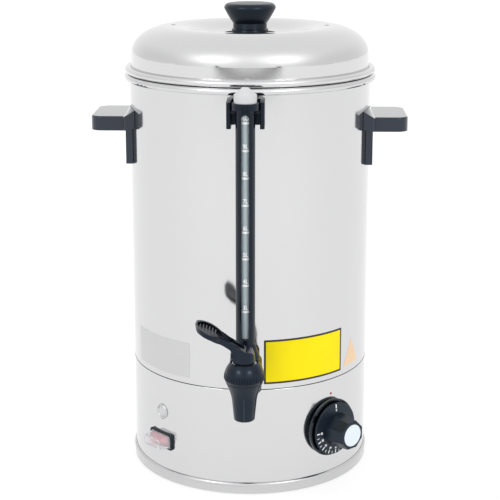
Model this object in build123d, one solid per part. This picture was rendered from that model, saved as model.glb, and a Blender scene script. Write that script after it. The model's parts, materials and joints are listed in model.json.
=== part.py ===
"""Hot water urn: a single-wall steel tank on a base housing, with a lid, side handles, a sight gauge,
a lever tap, a thermostat dial, a rocker switch, a lamp and the heating parts inside.

Millimetres, +Z up. The origin is on the surface that the urn stands on, on the tank's axis.
The tap faces -Y. An azimuth is measured round the tank from -Y towards +X.
"""

import math
import os

from build123d import *

# ---------------------------------------------------------------- clearances
SEAT_GAP = 0.3          # between pieces of different bodies, and over curved seats
FIT = 0.05              # radial clearance of a running fit
SLIP = 0.1              # radial clearance of a piece pushed through a hole
HOLE_GAP = 0.3          # radial clearance of a screw in its hole

# ---------------------------------------------------------------- sheet metal and heights
SHEET = 0.8             # stainless sheet of tank, lid and housing
BODY_R = 115.0          # outside of tank and housing
FOOT_PROUD = 1.2        # the feet stand this far below the base ring
RING_LIP = 1.5          # the ring's lip under the housing
RING_LIP_IN = 3.0       # how far the lip reaches in under the housing
RING_BAND_H = 7.0
RING_BAND_T = 1.4       # band outside the housing
RING_BEAD_H = 3.7
RING_BEAD_T = 2.0       # bead outside the housing
HOUSING_TOP = 104.2     # seam between housing and tank
JOGGLE_H = 4.0          # the housing's top steps in under the tank
FLOOR_UP = 7.0          # tank floor above the seam
FLOOR_SKIRT = 4.4       # turned-down edge of the floor
FLOOR_BEND = 2.5
RIM_Z = 384.1           # top of the tank's wired rim
RIM_WIRE_R = 3.2        # section radius of the rim
RIM_OUT = 1.8           # rim section centre outside the wall's face

# ---------------------------------------------------------------- lid
LID_ROLL_R = 3.2        # section radius of the lid's rolled edge
LID_ROLL_OUT = 2.8      # roll centre outside the lid's wall
LID_STEP_IN = 1.6       # lid wall inside the tank's face
LID_WALL_H = 14.0       # straight wall above the roll's centre
CREST_H = 40.5          # crest above the roll's centre
SHOULDER_W = 36.4       # from the lid's wall in to the crest
CREST_EASE = 26.0       # roundness of the crest's inner side
DISH_EASE = 22.0        # roundness of the dish's foot
DISH_DROP = 8.0         # centre of the lid below the crest
DISH_FLAT_R = 26.0
LID_SKIRT_H = 14.0      # locating ring, below the roll's centre
LID_SKIRT_LAP = 6.0     # welded lap above the roll's centre
VENT_R = 2.2
VENT_IN = 4.0           # vents inside the crest circle
VENT_COUNT = 4
KNOB_R = 24.6
KNOB_H = 28.8
KNOB_FLANGE_R = 17.4
KNOB_FLANGE_H = 4.2
KNOB_NECK_R = 16.0
KNOB_NECK_H = 9.2       # where the bowl starts
KNOB_LIP_H = 5.4        # widest place below the top
KNOB_WASHER_R = 24.4
KNOB_WASHER_T = 0.9
LID_SCREW_R = 3.0
LID_SCREW_HEAD_R = 6.0
LID_SCREW_HEAD_H = 3.6
LID_SCREW_GRIP = 14.0   # thread inside the knob
LID_WASHER_R = 11.0
LID_WASHER_T = 1.2

# ---------------------------------------------------------------- handles
HANDLE_OUT = 35.0       # grip plate beyond the tank
HANDLE_HALF_W = 34.0
HANDLE_CORNER = 11.0
HANDLE_DROP = 52.5      # grip plate's underside below the rim
HANDLE_T = 13.6
HANDLE_LIP = 3.2        # down-turned edge of the hollow grip, wall thickness
HANDLE_HOLLOW = 7.0     # depth of the hollow under the grip
HOLLOW_IN = 8.0         # hollow starts this far from the tank
GRIP_RIB_T = 2.0
GRIP_EDGE_R = 1.6       # rounding of the grip's top edge
ROOT_T = 3.2            # flat front of the root beyond the tank
ROOT_HALF_W = 43.0
ROOT_CORNER = 4.0
ROOT_UP = 1.0           # root above the grip plate's underside
ROOT_RISE = 6.5         # root above the grip where it meets the tank
ROOT_TUCK = 3.5         # lower edge rises by this at the root's ends
APRON_DROP = 32.4       # finger guard below the grip plate
APRON_HALF_W = 34.5
APRON_T = 3.2           # guard at its middle
APRON_FACE_R = 360.0
APRON_CORNER = 3.0
HANDLE_SCREW_R = 2.5
HANDLE_SCREW_SPAN = 36.0
HANDLE_SCREW_L = 16.0
HANDLE_SCREW_HEAD_R = 4.6
HANDLE_SCREW_HEAD_H = 2.6
SEAL_T = 1.2

# ---------------------------------------------------------------- tap
TAP_AHEAD = 32.0        # tap axis in front of the gauge's axis
SPOUT_DROP = 28.5       # spout mouth below the inlet
SPOUT_R = 9.2
SPOUT_BORE = 7.0
SPOUT_WAIST_R = 11.0
WAIST_DROP = 10.2       # waist below the inlet
COLLAR_R = 16.3         # flared top of the body
COLLAR_UP = 7.2         # body's top above the inlet
NECK_R = 13.2           # neck inside the bonnet
NECK_H = 9.1
CHAMBER_R = 9.5
SEAT_DROP = 10.6        # valve seat below the inlet
SEAT_BORE = 5.2
SEAT_T = 2.4
INLET_UP = 16.0         # inlet above the tank's floor
INLET_BORE = 4.4
INLET_R = 6.4
INLET_IN = 11.0         # how far the inlet goes into the gauge block
BONNET_R = 18.0
BAND_UP = 3.2           # widest place above the body
BONNET_BAND_H = 1.5
DOME_DROP = 6.2         # shoulder of the dome below the top
DOME_IN = 1.7           # and inside the widest place
BONNET_H = 17.2
DIMPLE_R = 12.2         # dished seat in the bonnet's top
DIMPLE_DEPTH = 1.3
BONNET_ROOF = 2.4
KNURL_COUNT = 40
KNURL_R = 0.95
SPRING_POCKET_R = 7.6
STEM_R = 2.9
CUP_R = 8.0
CUP_H = 6.0
CUP_GAP = 0.3           # cup above the seat's lip
SPRING_R = 5.2
SPRING_WIRE = 0.5
SPRING_TURNS = 5
WASHER_R = 10.6
WASHER_T = 0.8
HUB_R = 9.7
HUB_WALL = 2.2          # closed front of the hub, ahead of the stem's slot
HUB_FOOT_R = 2.0        # rounding under the hub
PIN_UP = 7.3            # lever pin above the bonnet
PIN_R = 1.25
PIN_END = 0.8           # pin ends below the hub's rear side
PIN_SKIN = 2.4          # blind end of the pin's bore behind the hub's front side
LEVER_SLOT = 6.2
LUG_R = 3.2
LUG_T = 5.7
LEVER_REACH = 42.6      # tip from the tap's axis
LEVER_RISE = 27.5       # tip above the pin
LEVER_THICK = 4.4       # paddle
ARM_W = 15.0
PADDLE_W = 33.0
PADDLE_L = 29.0
PADDLE_RECESS = 2.2
PADDLE_RIM = 2.6
RIB_COUNT = 6
RIB_PITCH = 2.9
RIB_W = 1.1
RIB_H = 1.6

# ---------------------------------------------------------------- gauge
GAUGE_OUT = 25.0        # gauge axis beyond the tank
SHANK_R = 8.0
SHANK_BORE = 5.0
SHANK_THREAD = 12.0     # thread inside the tank
SHANK_NUT_AF = 22.0
SHANK_NUT_T = 6.0
SHANK_FLANGE_R = 14.6
SHANK_FLANGE_T = 4.0
GASKET_T = 1.6
BLOCK_W = 29.0
BLOCK_DOWN = 14.2       # below the inlet
BLOCK_UP = 16.6         # above the inlet
BLOCK_BACK = 12.0       # behind the gauge axis
BLOCK_FRONT = 9.6       # in front of the gauge axis
BLOCK_CORNER = 6.0
CONE_R = 13.2           # gland cone under the shroud
CONE_TOP_R = 9.2
CONE_H = 14.0
GLASS_R = 5.0
GLASS_T = 1.2
GLASS_UP = 10.8         # glass above the inlet
GLASS_IN_CAP = 8.2      # glass above the collar
SHROUD_R = 8.6
SHROUD_T = 2.2
SHROUD_DROP = 16.1      # shroud below the rim
SLOT_W = 7.0
SLOT_BACK_W = 5.6       # the slot at the shroud's back
SLOT_UP = 5.1           # slot above the gland cone
SLOT_DROP = 2.6         # slot below the shroud's top
COLLAR_RING_R = 12.2
COLLAR_RING_H = 6.8
COLLAR_NOTCH = 3.0
CAP_R = 10.0
CAP_H = 13.2
CAP_SHOULDER = 7.4
CAP_TIP_R = 2.6
CAP_WALL = 1.8
WING_HALF = 16.6
WING_T = 4.0
WING_DROP = 15.9        # wings below the shroud's top
WING_H = 23.2
WING_AHEAD = 1.0        # in front of the gauge's axis
FORK_T = 2.5
FORK_AHEAD = 0.0        # in front of the gauge's axis
BRACKET_PLATE_T = 3.0
BRACKET_SCREW_R = 2.0
BRACKET_SCREW_SPAN = 14.0
BRACKET_SCREW_HEAD_R = 3.8
BRACKET_SCREW_HEAD_H = 2.2
LOWER_SEAL_NECK = 5.0

# ---------------------------------------------------------------- dial and thermostat
DIAL_AZ = 42.5
DIAL_Z = 57.2
BEZEL_R = 27.8
BEZEL_BACK_R = 24.2     # foot of the bezel's tapered side
BEZEL_RIM = 1.6
BEZEL_PROUD = 5.0
BEZEL_FLOOR = 1.6
SKIRT_GAP = 0.9         # skirt inside the bezel's rim
SKIRT_OFF = 6.4         # back of the skirt above the wall
SKIRT_T = 2.4
SKIRT_CONE = 1.2
GRIP_R = 16.3           # octagon's corners at the skirt
GRIP_TIP_R = 14.0
GRIP_SIDES = 8
KNOB_FACE = 31.3        # front face above the wall
FACE_MARGIN = 3.5       # face disc inside the grip's tip
FACE_CAP_T = 1.2
SHAFT_R = 3.0
SHAFT_FLAT = 1.5        # depth of the flat
SHAFT_IN = 14.0         # shaft inside the knob
SHAFT_TAIL = 10.0       # shaft inside the thermostat
THERMO_W = 38.0
THERMO_H = 32.0
THERMO_D = 26.0
THERMO_BUSH_R = 5.0
THERMO_SCREW_R = 1.9
THERMO_SCREW_SPAN = 28.0

# ---------------------------------------------------------------- switch and lamp
SWITCH_AZ = -45.6
SWITCH_Z = 40.4
SWITCH_W = 31.8
SWITCH_H = 15.8
SWITCH_PROUD = 1.8
SWITCH_BODY_W = 27.0
SWITCH_BODY_H = 12.2
SWITCH_BODY_D = 22.0
ROCKER_END_R = 11.4     # ends, about the pin
ROCKER_H = 9.2
ROCKER_HIGH = 5.4       # face's ends above the pin
ROCKER_DISH = 2.2       # hollow of the face
ROCKER_TILT = 9.0
BOOT_W = 28.8
BOOT_H = 13.0
BOOT_PROUD = 10.6
BOOT_T = 0.9
BLADE_W = 6.3
BLADE_T = 0.8
BLADE_L = 8.0
LAMP_AZ = -45.0
LAMP_Z = 68.8
LAMP_R = 7.4
LAMP_PROUD = 1.4
LAMP_LENS_R = 4.9
LAMP_LENS_PROUD = 1.1
LAMP_BODY_R = 5.6
LAMP_BODY_L = 24.0
LAMP_NUT_AF = 15.0
LAMP_NUT_T = 2.5

# ---------------------------------------------------------------- underside
PLATE_Z = 7.2           # underside of the bottom plate
PLATE_SKIRT = 4.0
FOOT_R = 10.0
FOOT_IN = 27.0          # feet inside the housing's face
FOOT_RECESS_R = 4.6
FOOT_RECESS_H = 2.8
FOOT_COUNT = 4
FOOT_SCREW_R = 2.0
FOOT_HEAD_GAP = 0.6     # screw head inside the foot's recess
FOOT_HEAD_H = 2.0
FOOT_NUT_AF = 7.0
FOOT_NUT_T = 3.15
TAB_COUNT = 3
TAB_W = 16.0
TAB_D = 13.0
TAB_T = 1.6
TAB_SCREW_R = 1.9
TAB_SCREW_L = 8.0
TAB_HEAD_R = 3.6
TAB_HEAD_H = 2.2
SLOT_COUNT = 12
VENT_SLOT_L = 16.0
VENT_SLOT_W = 3.0
VENT_SLOT_PCR = 62.0
LIMIT_X = -30.0         # overheat limiter on the plate
LIMIT_Y = -20.0
LIMIT_W = 34.0
LIMIT_H = 30.0
LIMIT_BUSH_R = 5.0
LIMIT_NUT_AF = 14.0
LIMIT_NUT_T = 2.4
BUTTON_R = 2.6
BUTTON_TRAVEL = 1.5
BUTTON_L = 9.0
BLOCK_X = 38.0          # terminal block on the plate
BLOCK_Y = 62.0
TERM_W = 34.0
TERM_D = 18.0
TERM_H = 17.0
TERM_POLES = 3
TERM_BORE = 2.6

# ---------------------------------------------------------------- cable gland
GLAND_AZ = 180.0
GLAND_UP = 23.0         # gland above the bottom plate
GLAND_BORE = 4.0
GLAND_R = 8.0
GLAND_AF = 19.0
GLAND_FLANGE_T = 5.0
GLAND_TAIL = 11.0
GLAND_NUT_AF = 22.0
GLAND_NUT_T = 4.5
DOME_NUT_R = 9.6
DOME_NUT_L = 14.0
GLAND_NOSE = 13.0
GLAND_NOSE_R = 7.0

# ---------------------------------------------------------------- heating
TUBE_R = 4.2
LOOP_R = 60.0
LOOP_UP = 21.0          # loop above the floor
LOOP_GAP_ANGLE = 28.0
LOOP_BEND = 12.0
COLD_END = 12.0         # tube below the floor
FITTING_R = 9.0
FITTING_T = 4.0
FITTING_THREAD_R = 6.0
ELEMENT_NUT_AF = 18.0
ELEMENT_NUT_T = 5.0
WELL_X = -88.0
WELL_Y = 30.0
WELL_R = 4.6
WELL_T = 0.8
WELL_H = 62.0
WELL_FLANGE_R = 9.0
BULB_R = 3.4
BULB_L = 52.0
CAPILLARY_R = 1.0
LIMIT_BULB_R = 3.0
LIMIT_BULB_L = 46.0
LIMIT_BULB_Y = -22.0
CLIP_W = 10.0
CLIP_T = 1.0

# ---------------------------------------------------------------- worked out
FLOOR_Z = HOUSING_TOP + FLOOR_UP
INLET_Z = FLOOR_Z + INLET_UP
LID_WALL_R = BODY_R - LID_STEP_IN
CREST_R = LID_WALL_R - SHOULDER_W
VENT_PCR = CREST_R - VENT_IN
HANDLE_REACH = BODY_R + HANDLE_OUT
HANDLE_Z = RIM_Z - HANDLE_DROP
HANDLE_TOP = HANDLE_Z + HANDLE_T
ROOT_Z = HANDLE_Z + ROOT_UP
ROOT_FACE = BODY_R + ROOT_T
HOLLOW_X = BODY_R + HOLLOW_IN
APRON_Z = HANDLE_Z - APRON_DROP
APRON_FACE = BODY_R + APRON_T
GAUGE_Y = BODY_R + GAUGE_OUT
TAP_Y = GAUGE_Y + TAP_AHEAD
SPOUT_Z = INLET_Z - SPOUT_DROP
SPOUT_WAIST_Z = INLET_Z - WAIST_DROP
SEAT_Z = INLET_Z - SEAT_DROP
COLLAR_Z = INLET_Z + COLLAR_UP
NECK_TOP = COLLAR_Z + NECK_H
BONNET_BAND_Z = COLLAR_Z + BAND_UP
BONNET_TOP = COLLAR_Z + BONNET_H
PIN_Z = BONNET_TOP + PIN_UP
BLOCK_Z = INLET_Z - BLOCK_DOWN
BLOCK_TOP = INLET_Z + BLOCK_UP
GLASS_BOTTOM = INLET_Z + GLASS_UP
SHROUD_TOP = RIM_Z - SHROUD_DROP
COLLAR_RING_Z = SHROUD_TOP + SEAT_GAP
GLASS_TOP = COLLAR_RING_Z + COLLAR_RING_H + GLASS_IN_CAP
SLOT_BOTTOM = BLOCK_TOP + CONE_H + SLOT_UP
SLOT_TOP = SHROUD_TOP - SLOT_DROP
WING_Z = SHROUD_TOP - WING_DROP
WING_FRONT = GAUGE_Y + WING_AHEAD
FORK_FRONT = GAUGE_Y + FORK_AHEAD
SKIRT_R = BEZEL_R - BEZEL_RIM - SKIRT_GAP
FACE_CAP_R = GRIP_TIP_R - FACE_MARGIN
FOOT_PCR = BODY_R - FOOT_IN
LOOP_Z = FLOOR_Z + LOOP_UP
GLAND_Z = PLATE_Z + GLAND_UP
RING_Z = FOOT_PROUD
HOUSING_Z = RING_Z + RING_LIP + SLIP
WALL_IN = BODY_R - SHEET
RIM_C = (BODY_R + RIM_OUT, RIM_Z - RIM_WIRE_R)
ROLL_Z = RIM_Z + SEAT_GAP + LID_ROLL_R
CREST_Z = ROLL_Z + CREST_H
DISH_Z = CREST_Z - DISH_DROP
FLOOR_R = WALL_IN - FIT
JOGGLE_R = FLOOR_R - SHEET - FIT
WASHER_Z = BONNET_TOP - DIMPLE_DEPTH + FIT
HUB_Z = WASHER_Z + WASHER_T + SEAT_GAP
HUB_DROP = PIN_Z - HUB_Z
HUB_FLAT = HUB_R - HUB_FOOT_R
CUP_Z = SEAT_Z + CUP_GAP
SPRING_TOP = BONNET_TOP - DIMPLE_DEPTH - BONNET_ROOF
WALL_FACE = BODY_R + FIT


def at_azimuth(azimuth, z, radius=BODY_R):
    """Plane on the wall: x to the right and y up for someone facing it, z outwards."""
    a = math.radians(azimuth)
    out = (math.sin(a), -math.cos(a), 0)
    return Plane(origin=(radius * out[0], radius * out[1], z), x_dir=(math.cos(a), math.sin(a), 0), z_dir=out)


def tube(r_out, r_in, z_low, z_high):
    """Plain ring about the Z axis."""
    height = z_high - z_low
    ring = Pos(0, 0, z_low) * Cylinder(r_out, height, align=(Align.CENTER, Align.CENTER, Align.MIN))
    if r_in > 0:
        ring -= Pos(0, 0, z_low) * Cylinder(r_in, height, align=(Align.CENTER, Align.CENTER, Align.MIN))
    return ring


def rod(radius, z_low, z_high):
    return tube(radius, 0, z_low, z_high)


def turned(*outline):
    """Solid turned about Z from a closed outline of edges drawn as (radius, height)."""
    return revolve(Plane.XZ * make_face(outline), Axis.Z, 360)


def turned_points(*points):
    return turned(*Polyline(*points, close=True).edges())


def crown_arc(radius, z_edge, z_top):
    """Arc from (radius, z_edge) to the axis at z_top, centred on the axis."""
    rise = z_top - z_edge
    ball = (radius ** 2 + rise ** 2) / (2 * rise)
    half = math.asin(radius / ball) / 2
    middle = (ball * math.sin(half), z_top - ball + ball * math.cos(half))
    return ThreePointArc((radius, z_edge), middle, (0, z_top))


def pressed_sheet(points, radii, thickness=SHEET):
    """Sheet turned about Z: a filleted line of (radius, height) points, thickened to its left."""
    line = FilletPolyline(*points, radius=radii)
    outline = offset(Wire(line.edges()), amount=thickness, side=Side.LEFT, closed=True)
    return revolve(Plane.XZ * make_face(outline.edges()), Axis.Z, 360)


def hex_nut(across_flats, r_bore, z_low, z_high):
    body = extrude(RegularPolygon(across_flats / 2, 6, major_radius=False), z_high - z_low)
    return Pos(0, 0, z_low) * body - rod(r_bore, z_low, z_high)


def pan_screw(shank_r, shank_l, head_r, head_h):
    """Screw along +Z from its head's seat at z = 0; the head is below."""
    head = fillet(rod(head_r, -head_h, 0).edges().group_by(Axis.Z)[0], head_h * 0.45)
    cross = Box(head_r, shank_r * 0.5, head_h) + Box(shank_r * 0.5, head_r, head_h)
    return head + rod(shank_r, 0, shank_l) - Pos(0, 0, -head_h) * cross


def wall_cylinder(radius):
    """Full-height cylinder that the back of a wall-mounted piece is cut to."""
    return rod(radius, -20, 500)


def tube_along(points, radius, bends):
    """Round wire or capillary along straight runs joined by tangent arcs."""
    path = FilletPolyline(*points, radius=bends)
    start = Plane(origin=path @ 0, z_dir=path % 0)
    return sweep(start * Circle(radius), path=path)


# ================================================================ tank and housing
def make_tank():
    wall = tube(BODY_R, WALL_IN, HOUSING_TOP + SEAT_GAP, RIM_C[1])
    rim = revolve(Plane.XZ * (Pos(*RIM_C) * Circle(RIM_WIRE_R)), Axis.Z, 360)
    tank = wall + (rim - rod(WALL_IN, RIM_Z - 20, RIM_Z + 20))
    tank -= Pos(0, 0, INLET_Z) * Rot(90, 0, 0) * rod(SHANK_R + HOLE_GAP, BODY_R - 10, BODY_R + 10)
    for side in (-1, 1):
        for y in (-HANDLE_SCREW_SPAN / 2, HANDLE_SCREW_SPAN / 2):
            hole = Rot(0, 90 * side, 0) * rod(HANDLE_SCREW_R + HOLE_GAP, BODY_R - 20, BODY_R + 10)
            tank -= Pos(0, y, HANDLE_Z + HANDLE_T / 2) * hole
    for z in bracket_screw_heights():
        tank -= Pos(0, 0, z) * Rot(90, 0, 0) * rod(BRACKET_SCREW_R + HOLE_GAP, BODY_R - 10, BODY_R + 10)
    return tank


def make_tank_floor():
    bottom = FLOOR_Z - SHEET - FLOOR_SKIRT
    floor = pressed_sheet([(FLOOR_R, bottom), (FLOOR_R, FLOOR_Z), (0, FLOOR_Z)], [FLOOR_BEND])
    for x, y in element_feet():
        floor -= Pos(x, y, 0) * rod(FITTING_THREAD_R + SLIP, FLOOR_Z - 5, FLOOR_Z + 5)
    floor -= Pos(WELL_X, WELL_Y, 0) * rod(WELL_R + FIT, FLOOR_Z - 5, FLOOR_Z + 5)
    return Compound(children=[floor, make_bulb_clip()])


def make_base_housing():
    step = HOUSING_TOP - 0.7
    outline = [
        (BODY_R, HOUSING_Z), (BODY_R, step),
        (JOGGLE_R, HOUSING_TOP + 0.8), (JOGGLE_R, HOUSING_TOP + JOGGLE_H),
    ]
    housing = pressed_sheet(outline, [0.9, 0.9])
    tab_z = PLATE_Z + SHEET + FIT
    for place in PolarLocations(0, TAB_COUNT, start_angle=30):
        tab = Pos(WALL_IN - TAB_D / 2 + 0.2, 0, tab_z + TAB_T / 2) * Box(TAB_D, TAB_W, TAB_T)
        tab -= Pos(WALL_IN - TAB_D / 2, 0, 0) * rod(TAB_SCREW_R + FIT, tab_z - 1, tab_z + TAB_T + 1)
        housing += place * tab
    dial = at_azimuth(DIAL_AZ, DIAL_Z)
    housing -= dial * rod(THERMO_BUSH_R + SLIP, -12, 12)
    for x in (-THERMO_SCREW_SPAN / 2, THERMO_SCREW_SPAN / 2):
        housing -= dial * Pos(x, 0, 0) * rod(THERMO_SCREW_R + HOLE_GAP, -12, 12)
    housing -= at_azimuth(LAMP_AZ, LAMP_Z) * rod(LAMP_BODY_R + SLIP, -12, 12)
    cut = Box(SWITCH_BODY_W + 2 * SLIP, SWITCH_BODY_H + 2 * SLIP, 24)
    housing -= at_azimuth(SWITCH_AZ, SWITCH_Z) * cut
    return housing - at_azimuth(GLAND_AZ, GLAND_Z) * rod(GLAND_R + SLIP, -12, 12)


def make_base_ring():
    r_in = BODY_R + SLIP
    band = BODY_R + RING_BAND_T
    bead = BODY_R + RING_BEAD_T
    top = RING_Z + RING_BAND_H + RING_BEAD_H
    lip = BODY_R - RING_LIP_IN
    neck = RING_Z + RING_BAND_H
    start = (lip, RING_Z)
    low = Polyline(
        (r_in, top), (r_in, RING_Z + RING_LIP), (lip, RING_Z + RING_LIP), start, (band, RING_Z), (band, neck))
    curve = ThreePointArc((band, neck), (bead, neck + RING_BEAD_H / 2), (r_in, top))
    return turned(*low.edges(), curve)


def make_bottom_plate():
    r_out = WALL_IN - SLIP
    top = PLATE_Z + SHEET
    plate = pressed_sheet([(r_out, top - PLATE_SKIRT), (r_out, top), (0, top)], [2.0])
    for place in PolarLocations(0, TAB_COUNT, start_angle=30):
        plate -= place * Pos(WALL_IN - TAB_D / 2, 0, 0) * rod(TAB_SCREW_R + HOLE_GAP, 0, top + 5)
    for place in PolarLocations(FOOT_PCR, FOOT_COUNT, start_angle=45):
        plate -= place * rod(FOOT_SCREW_R + SLIP, 0, top + 5)
    slot = extrude(SlotOverall(VENT_SLOT_L, VENT_SLOT_W), 12)
    for place in PolarLocations(VENT_SLOT_PCR, SLOT_COUNT):
        plate -= place * slot
    return plate - Pos(LIMIT_X, LIMIT_Y, 0) * rod(LIMIT_BUSH_R + SLIP, 0, top + 5)


def make_base_screws():
    """Screws of the bottom plate's tabs and of the feet, all driven from below."""
    tab_screw = Pos(0, 0, PLATE_Z - FIT) * pan_screw(TAB_SCREW_R, TAB_SCREW_L, TAB_HEAD_R, TAB_HEAD_H)
    foot_l = PLATE_Z + SHEET + FOOT_NUT_T - FOOT_RECESS_H
    foot_screw = Pos(0, 0, FOOT_RECESS_H - FIT) * pan_screw(
        FOOT_SCREW_R, foot_l, FOOT_RECESS_R - FOOT_HEAD_GAP, FOOT_HEAD_H)
    screws = [place * tab_screw for place in PolarLocations(WALL_IN - TAB_D / 2, TAB_COUNT, start_angle=30)]
    screws += [place * foot_screw for place in PolarLocations(FOOT_PCR, FOOT_COUNT, start_angle=45)]
    return Compound(children=screws)


def make_feet():
    foot = turned_points(
        (FOOT_SCREW_R + SLIP, FOOT_RECESS_H), (FOOT_RECESS_R, FOOT_RECESS_H),
        (FOOT_RECESS_R, 0), (FOOT_R - 1.5, 0),
        (FOOT_R - 0.4, 1.2), (FOOT_R, PLATE_Z - FIT), (FOOT_SCREW_R + SLIP, PLATE_Z - FIT),
    )
    return Compound(children=[place * foot for place in PolarLocations(FOOT_PCR, FOOT_COUNT, start_angle=45)])


def make_panel_nuts():
    """Nuts of the feet, the lamp and the limiter."""
    seat = PLATE_Z + SHEET + FIT
    nut = hex_nut(FOOT_NUT_AF, FOOT_SCREW_R + FIT, seat, seat + FOOT_NUT_T)
    nuts = [place * nut for place in PolarLocations(FOOT_PCR, FOOT_COUNT, start_angle=45)]
    return Compound(children=[*nuts, make_lamp_nut(), make_limiter_nut()])


# ================================================================ lid
def lid_line(shoulder, inset):
    """Edges of the lid's outer line, or of the line at the sheet's inner face."""
    wide = LID_WALL_R - CREST_R - inset
    high = CREST_Z - shoulder - inset
    crest = CREST_Z - inset
    dish = DISH_Z - inset
    return [
        Line((LID_WALL_R - inset, ROLL_Z), (LID_WALL_R - inset, shoulder)),
        EllipticalCenterArc((CREST_R, shoulder), wide, high, start_angle=0, arc_size=90),
        Bezier(
            (CREST_R, crest), (CREST_R - CREST_EASE, crest),
            (DISH_FLAT_R + DISH_EASE, dish), (DISH_FLAT_R, dish)),
        Line((DISH_FLAT_R, dish), (0, dish)),
    ]


def make_lid_shell():
    """Rolled edge, short straight wall, round shoulder and dished top, from one sheet."""
    shoulder = ROLL_Z + LID_WALL_H
    outline = lid_line(shoulder, 0)
    inner = lid_line(shoulder, SHEET)
    ends = [Line(outline[0] @ 0, inner[0] @ 0), Line(outline[-1] @ 1, inner[-1] @ 1)]
    shell = turned(*outline, *inner, *ends)
    roll = Plane.XZ * (Pos(LID_WALL_R + LID_ROLL_OUT, ROLL_Z) * Circle(LID_ROLL_R))
    shell += revolve(roll, Axis.Z, 360)
    for place in PolarLocations(VENT_PCR, VENT_COUNT):
        shell -= place * rod(VENT_R, CREST_Z - 12, CREST_Z + 8)
    return shell - rod(LID_SCREW_R + HOLE_GAP, DISH_Z - 5, DISH_Z + 5)


def make_lid_skirt():
    r_out = LID_WALL_R - SHEET - FIT
    return tube(r_out, r_out - SHEET, ROLL_Z - LID_SKIRT_H, ROLL_Z + LID_SKIRT_LAP)


def make_knob_washer():
    return tube(KNOB_WASHER_R, LID_SCREW_R + HOLE_GAP, DISH_Z, DISH_Z + KNOB_WASHER_T)


def make_lid_knob():
    base = DISH_Z + KNOB_WASHER_T
    bore_top = base + LID_SCREW_GRIP + 1.5
    bowl = base + KNOB_NECK_H
    top = base + KNOB_H
    edge = top - KNOB_LIP_H
    bore = LID_SCREW_R + FIT
    sides = Polyline(
        (0, top), (0, bore_top), (bore, bore_top), (bore, base), (KNOB_FLANGE_R - 0.6, base),
        (KNOB_FLANGE_R, base + 0.6), (KNOB_FLANGE_R, base + KNOB_FLANGE_H - 0.8),
        (KNOB_NECK_R, base + KNOB_FLANGE_H), (KNOB_NECK_R, bowl),
    )
    flare = ThreePointArc((KNOB_NECK_R, bowl), (KNOB_R - 3.2, edge - 6.0), (KNOB_R, edge))
    lip = ThreePointArc((KNOB_R, edge), (KNOB_R - 1.4, edge + 3.2), (KNOB_R - 6.0, top - 1.0))
    crown = crown_arc(KNOB_R - 6.0, top - 1.0, top)
    return turned(*sides.edges(), flare, lip, crown)


def make_lid_screw():
    """Screw up into the knob, and the washer under its head."""
    seat = DISH_Z - SHEET - LID_WASHER_T - 2 * FIT
    length = SHEET + LID_WASHER_T + 2 * FIT + KNOB_WASHER_T + LID_SCREW_GRIP
    screw = Pos(0, 0, seat) * pan_screw(LID_SCREW_R, length, LID_SCREW_HEAD_R, LID_SCREW_HEAD_H)
    washer = tube(LID_WASHER_R, LID_SCREW_R + HOLE_GAP, seat + FIT, seat + FIT + LID_WASHER_T)
    return Compound(children=[screw, washer])


# ================================================================ handles
def wall_reach(y):
    """X of the handle's seat on the tank at this y."""
    return math.sqrt((BODY_R + SEAT_GAP) ** 2 - y ** 2)


def handle_grip():
    """Flat grip with rounded corners, hollow and ribbed from below."""
    outline = Pos(HANDLE_REACH / 2, 0) * RectangleRounded(HANDLE_REACH, 2 * HANDLE_HALF_W, HANDLE_CORNER)
    grip = Pos(0, 0, HANDLE_Z) * extrude(outline, HANDLE_T)
    grip = fillet(grip.edges().group_by(Axis.Z)[-1], GRIP_EDGE_R)
    length = HANDLE_REACH - HANDLE_LIP - HOLLOW_X
    width = 2 * (HANDLE_HALF_W - HANDLE_LIP)
    hollow = Pos(HOLLOW_X + length / 2, 0, HANDLE_Z) * Box(length, width, 2 * HANDLE_HOLLOW)
    grip -= fillet(hollow.edges().filter_by(Axis.Z), HANDLE_CORNER - HANDLE_LIP)
    for y in (-HANDLE_HALF_W * 0.36, HANDLE_HALF_W * 0.36):
        rib = Box(length + 2, GRIP_RIB_T, HANDLE_HOLLOW - 1)
        grip += Pos(HOLLOW_X + length / 2, y, HANDLE_Z + HANDLE_HOLLOW / 2 + 0.5) * rib
    return grip


def root_section(y, tuck):
    """Section of the root in the XZ plane at y: flat front, top that climbs to the tank."""
    wall = wall_reach(y)
    inner = wall - 3.0
    climb = ROOT_RISE * (ROOT_FACE - inner) / (ROOT_FACE - wall)
    points = [(inner, ROOT_Z + tuck), (ROOT_FACE, ROOT_Z), (ROOT_FACE, HANDLE_TOP), (inner, HANDLE_TOP + climb)]
    return Pos(0, y, 0) * (Plane.XZ * make_face(Polyline(*points, close=True).edges()))


def handle_root():
    """Block that joins the grip to the round tank and spreads along it."""
    wide = ROOT_HALF_W + 3.0
    body = loft([root_section(-wide, ROOT_TUCK), root_section(0, 0), root_section(wide, ROOT_TUCK)])
    plan = Pos(ROOT_FACE / 2, 0) * RectangleRounded(ROOT_FACE, 2 * ROOT_HALF_W, ROOT_CORNER)
    return body & Pos(0, 0, ROOT_Z - 5) * extrude(plan, HANDLE_T + 30)


def handle_guard():
    """Thin plate below the grip that keeps fingers off the hot tank."""
    height = HANDLE_Z - APRON_Z + 1.0
    guard = Pos(APRON_FACE - APRON_FACE_R, 0, 0) * rod(APRON_FACE_R, APRON_Z, APRON_Z + height)
    guard &= Pos(APRON_FACE - 15, 0, APRON_Z + height / 2) * Box(40, 2 * APRON_HALF_W, height)
    return fillet(guard.edges().filter_by(Axis.X).group_by(Axis.Z)[0], APRON_CORNER)


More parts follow.
